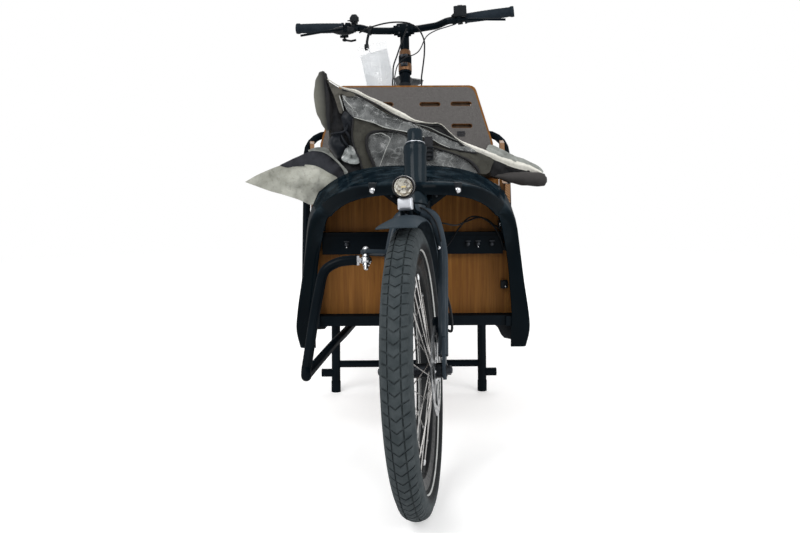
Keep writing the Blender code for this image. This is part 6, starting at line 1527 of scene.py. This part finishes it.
def rain_cover():
    """The cover lies folded on the box: a slack bundle, and in front of it windows, bands, straps and hems."""
    foot = mm_row("604 592 592 594 596 597 598 599 600 600 600 600 600 599 598 597 594 588 584 590")
    round_bundle = (
        (0.66, 0.04), (0.652, 0.45), (0.646, 0.9), (0.66, 1), (0.69, 0.88), (0.724, 0.42), (0.72, 0.04), (0.69, 0),
        (0.66, 0.04),
    )
    rows = []
    for (x, top, _), low in zip(COVER_HEM, foot):
        tall = top - 0.005 - low
        rows.append([at(x, y, low + tall * share) for y, share in round_bundle])
    cloth(
        "cover_bundle", rows, "canvas_olive", 0.01, 0.06, 1.7, (0.6, 1, 1.5), replaces=("rain_cover",),
        held="folded", rests_on=["side_panel_left", "side_panel_right"],
    )

    lines = [[], [], []]
    for (x, z, y), half in zip(COVER_HEM, HEM_HALF):
        lines[0].append(at(x + 0.3 * half, y + 0.012, z + half))
        lines[1].append(at(x, y - 0.0025, z + 0.4 * half))
        lines[2].append(at(x - 0.3 * half, y, z - half))
    cloth("cover_hem", lines, "hem", 0.0012, 0.02, 3.3, thick=0.0012, held="draped", rests_on=["cover_bundle"])
    # A dark line just under the hem's lower edge: a painted shadow.
    shadow = [(x - 0.3 * half, z - half - 0.0035, y + 0.002) for (x, z, y), half in zip(COVER_HEM, HEM_HALF)]
    seam("cover_hem_painted_shadow", shadow[1:-1], 0.0024, "black_trim_and_painted_shadow")

    lobe = mm("""183 664 622, 198 676 668, 223 667 668, 240 658 662, 258 648 655, 289 636 650, 323 615 640, 318 607 616,
        283 627 616, 253 634 617, 218 645 619, 198 655 620""")
    patch("cover_lobe", lobe, "canvas_grey", 0.004, 0.03, 5.2)

    pole = mm("-205 834 626, -199 795 622, -197 750 620, -196 712 620")
    seam("cover_pole_left", pole, "2 5 6 4", "cover_dark")
    left = "-208.5 853 640, -210 846 640, -212 825 640, -211.5 792 640, -207 762 640, -200 735 640, -195 712 642"
    roll("cover_roll_left", left, mm_row("3 10.5 17.5 21.5 21.5 17 10"), "roll_left", 0.001, 2.1)
    right = "204 598 612, 215 598 610, 240 595.5 606, 275 592.5 602, 305 591 600, 320 590 600, 327.5 590 600"
    roll("cover_roll_right", right, mm_row("2 6 12.5 16.5 17 15 7"), "roll_right", 0.0016, 7.4)

    # A very dark sheet in the deep fold between the left roll and the upper window: painted shade over the cover's dark
    # inner side.
    dark = mm("""-200 830 624, -192 812 626, -185 786 632, -176 790 634, -160 779 634, -150 755 634, -130 741 632,
        -128 700 630, -132 668 630, -118 618 624, -150 606 618, -176 626 622, -189 657 626, -199 680 628,
        -191 703 626, -198 730 622, -202 780 622""")
    patch("cover_inside_painted_shade_left", dark, "cover_dark", 0.009, 0.028, 1.3, 0.006)
    strip = mm("""-198 829 621, -165 809 619, -128 796 618, -139 791 616, -155 792 617, -168 797 620, -163 756 622,
        -170 752 624, -181 786 624, -191 812 622""")
    patch("cover_inner_band", strip, "canvas_olive", 0.002, 0.03, 4.4, 0.006)
    seam("cover_slit", mm("-170 793 618, -165 777 618, -160 757 620"), "0.8 2 0.8", "film_edge")

    window = mm("""-163 795 616, -146 790 618, -131 792 621, -102 778 621, -76 762 621, -43 744 621, -15 734 620,
        23 718 618, 44 709 618, 72 697 618, 96 686 618, 126 676 618, 160 659 616, 126 661 606, 94 668 603,
        72 677 602, 50 689 602, 20 697 602, -8 706 602, -39 712 602, -65 718 601, -83 726 601, -102 732 601,
        -120 737 602, -135 741 603, -147 752 607, -155 764 611, -160 779 614""")
    patch("cover_window_upper", window, "film", 0.01, 0.034, 8.8, 0.006, thick=0.0006)
    low_edge = [(x, z - 0.0006, y - 0.001) for x, z, y in window[14:25]]
    seam("cover_window_edge", low_edge, "0.7 1.1 0.8 1.2 1.3 0.9 1.4 1.2 1 1.2 0.6", "film_edge")
    fold = mm("-161 792 609.5, -154 780 607.5, -141 766 607.5, -135 757 608")
    seam("cover_window_fold", fold, "0.5 1.2 0.9 0.4", "film_edge")

    inner_arch = mm("""-83 606, -88 626, -97 648, -104 668, -105 688, -100 699, -90 706, -76 708, -58 709, -39 707,
        -14 699, 20 683, 57 668, 93 657, 126 644, 143 635, 158 620, 166 606""")
    outer_arch = mm("""188 606 606, 196 624 608, 200 640 612, 160 655 612, 126 661 612, 94 667 612, 55 678 612,
        20 690 612, -10 701 612, -39 711 612, -76 723 611, -116 736 609, -135 738 607, -138 708 604, -137 684 603,
        -129 660 603, -120 640 603, -112 606 603""")
    for part, near, far in (
        ("left", inner_arch[:6], outer_arch[12:]),
        ("top", inner_arch[5:12], outer_arch[7:13]),
        ("right", inner_arch[11:], outer_arch[:8]),
    ):
        band = [*[(x, z, 0.604) for x, z in near], *far]
        patch("cover_band_" + part, band, "band", 0.0022, 0.04, 6.1, 0.0065, steps=3)
    pane = [(x, z, 0.6055) for x, z in inner_arch]
    inner = mm("-50 660 600, 60 635 600")
    patch("cover_window_front", pane, "film", 0.006, 0.05, 2.9, 0.0075, inner, thick=0.0006, steps=3)
    trim = [(x, z, 0.6005) for x, z in inner_arch]
    seam("cover_arch_trim", trim, "3.5 4 4 3.8 3.6 3.4 3 2.6 2.2 2 2 2.6 2.2 2 2.4 3.6 4 3", "black_trim_and_painted_shadow")
    fold = mm("-69 702 596.5, -49 690 595.5, -58 666 595.5, -75 622 597.5")
    seam("cover_crease", fold, "0.6 1.4 1 0.5", "film_edge")
    fold = mm("-88 699 598.5, -81 701.5 598, -67 702.5 598, -58 697 597.5, -49 690 596")
    seam("cover_crease_top", fold, "0.4 0.9 0.7 1 0.8", "film_edge")
    # A dark line along the band's top, under the upper window's lower edge: a painted shadow.
    edge = [(x, z - 0.0015, y - 0.0035) for x, z, y in outer_arch[3:9]]
    seam("cover_band_painted_shadow", edge, 0.0018, "black_trim_and_painted_shadow")
    edge = [(x - 0.0015, z, y - 0.0015) for x, z, y in outer_arch[12:]]
    seam("cover_band_side", edge, 0.0022, "black_trim_and_painted_shadow")

    # Very dark sheets under the hem's dip and in the gap beside the right lobe: painted shade.
    dip = mm("""23 731 621, 66 726 621, 79 720 621, 92 707 621, 103 694 621, 116 686 621, 116 676 621, 94 689 622,
        71 699 622, 45 712 622, 23 719 622""")
    patch("cover_painted_shade_top", dip, "cover_dark", 0.0015, 0.02, 3.8, 0.005)
    edge = mm("12 725 616, 45 716.5 616, 71 704 616, 94 693.5 616, 112 685 616")
    seam("cover_inside_edge", edge, "0.4 0.9 1 0.9 0.4", "canvas_grey")
    gap = mm("""192 642 614, 221 631 613, 252 618 612, 291 611 612, 270 606 616, 235 604 620, 204 597 620,
        194 606 616""")
    patch("cover_painted_shade_right", gap, "cover_dark", 0.003, 0.02, 9.9, 0.006)

    bulge = mm("""-186 701 618, -196 688 618, -196 672 618, -187 655 618, -171 636 616, -161 657 616, -150 672 616,
        -162 690 617, -165 701 617""")
    patch("cover_bulge", bulge, "cover_sheen", 0.002, 0.02, 0.7, 0.005, bulge=0.018)
    knot = mm("-166 742 616, -157 756 614, -146 750 612, -136 738 611, -139 716 611, -150 708 613, -160 722 615")
    patch("cover_knot", knot, "cover_sheen", 0.005, 0.012, 4.9, 0.004, bulge=0.005)
    for letter, fold in (
        ("a", "-160 724 608, -155 708 605, -149 699 604, -142 680 606"),
        ("b", "-192 702 612, -177 704 604, -164 705 603, -155 711 604, -150 724 608"),
        ("c", "-166 701 606, -161 688 603, -154 677 603, -147 670 606"),
    ):
        radii = "1.2" + " 3.4" * (fold.count(",") - 1) + " 1.2"
        seam("cover_fold_" + letter, mm(fold), radii, "cover_sheen")
    bits = mm("-152 674 610, -140 672 609, -124 645 609, -122 632 609, -140 630 610, -166 640 610, -161 657 610")
    patch("cover_window_scrap", bits, "film_bright", 0.008, 0.014, 1.9, 0.004, thick=0.0006)

    web = [[at(x, y, z) for x, y in mm("33 590, 43 588, 52.5 590")] for z in mm_row("694 684 668 652 637")]
    cloth("cover_strap", web, "webbing", 0.0006, 0.02, 5.5, thick=0.0016, held="hung", rests_on=["cover_band_right"])
    buckle = []
    for z in mm_row("668.5 659 648 640"):
        buckle.append(block(at(0.0315, 0.5835, z - 0.0016), at(0.054, 0.588, z + 0.0016), 0.0008))
    for x in mm_row("31.5 52"):
        buckle.append(block(at(x, 0.584, 0.6384), at(x + 0.002, 0.5875, 0.6701), 0.0006))
    piece("cover_buckle", merged(*buckle), "black_plastic")


def wing():
    """The cover's corner that hangs out beside the hood: a pale panel, a dark band and a light edge."""
    pale = mm("""-377 590 470, -355 603 475, -327 616 480, -297 628 490, -284 626 498, -257 629 513, -223 626 528,
        -195 611 540, -170 592 552, -196 562 530, -220 544 515, -231 536 510, -256 547 500, -278 555 495,
        -333 573 480""")
    inner = mm("-270 595 488, -230 590 505")
    panel = patch("cover_wing", pale, "canvas_pale", 0.0035, 0.055, 9.2, inner=inner)
    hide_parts("rain_cover_flap")
    slate = mm("""-300 627.5 489, -278 639 500, -253 651 515, -229 661 530, -207 658 545, -193 651 555, -176 636 570,
        -158 606 590, -168 588 580, -194 606 543, -223 622 527, -257 625 512, -284 622 497""")
    patch("cover_wing_band", slate, "slate", 0.003, 0.04, 6.6)
    edge = mm("-232 661.5 527, -205 658 544, -185 645 558, -169 628 576, -152 604 592")
    seam("cover_wing_piping", edge, "0.6 1.1 1.6 1.8 1.4", "canvas_grey")
    side = mm("""-240 662 540, -222 669 556, -200 668 580, -190 657 590, -172 636 598, -150 610 602, -175 605 598,
        -200 622 580, -225 640 560""")
    patch("cover_wing_side", side, "canvas_grey", 0.002, 0.03, 2.2, 0.006)


def bench():
    """The passenger bench's cushion, blown up by a cloth simulation; no point moves further than a cap."""
    low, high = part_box("bench_seat")
    shape = bmesh.new()
    bmesh.ops.create_cube(shape, size=1)
    size = high - low - Vector((0.006, 0.006, 0.006))
    middle = (low + high) / 2 - Vector((0, 0, 0.002))
    for vert in shape.verts:
        taper = 1 - 0.035 * (0.5 - vert.co.y)
        vert.co = middle + Vector((vert.co.x * size.x * taper, vert.co.y * size.y, vert.co.z * size.z))
    bmesh.ops.bevel(shape, geom=shape.edges[:], offset=0.006, segments=2, affect="EDGES", profile=0.6)
    obj = piece("bench_cushion", shape, "seat_fabric", angle=60, replaces=("bench_seat",))
    remesh = obj.modifiers.new("even", "REMESH")
    remesh.mode = "VOXEL"
    remesh.voxel_size = 0.006
    apply_modifiers(obj)
    blow_up(obj, 3, 0.006)
    obj.data.shade_smooth()


def blow_up(obj, pressure, cap):
    """Cloth under pressure without gravity; no point moves further than the cap."""
    rest = [vert.co.copy() for vert in obj.data.vertices]
    modifier = obj.modifiers.new("cloth", "CLOTH")
    settings = modifier.settings
    settings.quality = 5
    settings.mass = 0.3
    settings.use_pressure = True
    settings.uniform_pressure_force = pressure
    settings.effector_weights.gravity = 0
    for frame_number in range(1, 21):
        bpy.context.scene.frame_set(frame_number)
    apply_modifiers(obj)
    for vert, start in zip(obj.data.vertices, rest):
        move = vert.co - start
        if move.length > cap:
            vert.co = start + move.normalized() * cap
    bpy.context.scene.frame_set(1)


# Cords


def cord(name, points, diameter, body="frame", replaces=(), rest=Matrix.Identity(4)):
    path = [rest @ point for point in smooth_path(points, 6)]
    curve = bpy.data.curves.new(name, "CURVE")
    curve.dimensions = "3D"
    curve.bevel_depth = diameter / 2
    curve.bevel_resolution = 3
    curve.use_fill_caps = True
    spline = curve.splines.new("POLY")
    spline.points.add(len(path) - 1)
    for point, place in zip(spline.points, path):
        point.co = (*place, 1)
    obj = ridden(linked(name, curve), "cable", body, replaces)


def cords():
    hose = places("""45.5 145 500, 52 130.9 470, 52.5 106 425, 54.5 85 390, 61.8 72 362, 64.5 68 335, 62 76 316,
        51 86 320, 44 89 333, 40 88 340""")
    cord("brake_hose_front", hose, 0.005, "fork", ("front_brake_hose",), FORK_REST)
    loop = places("""33.6 308 428, 52 330 440, 75.8 360 455, 100 390 487, 126.5 400 512, 159 400 508, 180 400 494,
        196 401 482, 204 404 466""")
    cord("light_cable", loop, 0.0038, replaces=("front_cable_loop",))
    run = places("""17 245 495, 48 238 509, 82.6 250 503.6, 109.4 330 505.5, 147.1 390 511.3, 175.5 395 493.8,
        193.6 400 463.5, 201 406 440""")
    cord("lamp_cable", run, 0.0034)
    upper = places("10.5 130 545, 24 127.5 537, 37.5 124.5 519, 44.5 116.5 499, 48 112 480")
    cord("lamp_cable_upper", upper, 0.0034, "fork", rest=FORK_REST)
    low = on_axis(REAR_FOOT_Y, 0.87)
    down = on_axis(REAR_FOOT_Y, 0.66) + AHEAD * 0.0245
    for name, thick, side, route in (
        ("right", 0.0048, 0.007, """-144.1 1325 1043.7, -124.9 1315 1051.5, -98.3 1300 1059.4, -59.5 1285 1066.5,
            -21.4 1280 1068.8, 12 1280 1064.6, 41.1 1285 1047.9, 58.1 1290 1015.7, 59.5 1290 979.4, 56.6 1285 949.1,
            49.8 1275 900.6, 46.6 1270 867.1"""),
        ("left", 0.0034, 0, """158.9 1335 1070.3, 132.7 1320 1060.3, 94.3 1300 1045.3, 65.4 1295 1025.9,
            46.4 1300 988.6, 28.8 1310 974.2, 3.5 1300 965.2, -18 1293 948, -30 1280 920, -33 1272 870"""),
        ("display", 0.0048, -0.007, """5.2 1310 1054, -9.1 1300 1017, -26.1 1285 967.7, -37.3 1280 934.1,
            -38.6 1275 900.5, -38.6 1270 867"""),
    ):
        ends = [BAR_REST @ (down + Vector((side, 0, 0.09))), BAR_REST @ (down + Vector((0.83 * side, 0, 0)))]
        cord("bar_cable_" + name, [*places(route), *ends], thick, "handlebars", ("bar_cables",))
    clip = lathe(mm("16.3 0, 20.5 0, 20.5 12, 16.3 12"), 32, Matrix.Translation(low) @ frame_along(UP), closed=True)
    piece("cable_clip", clip, "black_plastic", "handlebars")


def dress():
    """Finishes of the CAD nodes that show as they are."""
    for look, names in (
        (
            "black_paint",
            "front_caliper mid_cross_bar floor_crossbar_front stand_crossbar rear_arch column_tube steering_column "
            "handlebar lever_mount_left lever_mount_right brake_lever_left brake_lever_right centre_stand crankset "
            "chain_stays seat_stays seat_tube rear_rack seat_post main_frame",
        ),
        ("wood_front", "front_panel"),
        ("wood_side", "side_panel_left side_panel_right"),
        ("wood_rear", "rear_panel backrest"),
        ("wood_floor", "floor_board"),
        (
            "black_plastic",
            "display shift_lever bell_lever bell motor_unit pedal_left pedal_right chain_guard battery",
        ),
        ("button", "display_button"),
        ("saddle", "saddle"),
    ):
        for name in names.split():
            for holder in NODES[name].material_slots:
                holder.material = LOOKS[look]


camera()
studio()
for maker, look, *values in FINISHES:
    LOOKS[look] = maker(look, *[mm_row(value) if isinstance(value, str) else value for value in values])
dress()
for build in (
    cords, hood, hood_fittings, head_tube, fork, fenders, tie_rod, wheels, box_fittings, lamp_bracket, lamp, chain,
    grips, stem_fittings, tag, rain_cover, wing, bench,
):
    build()
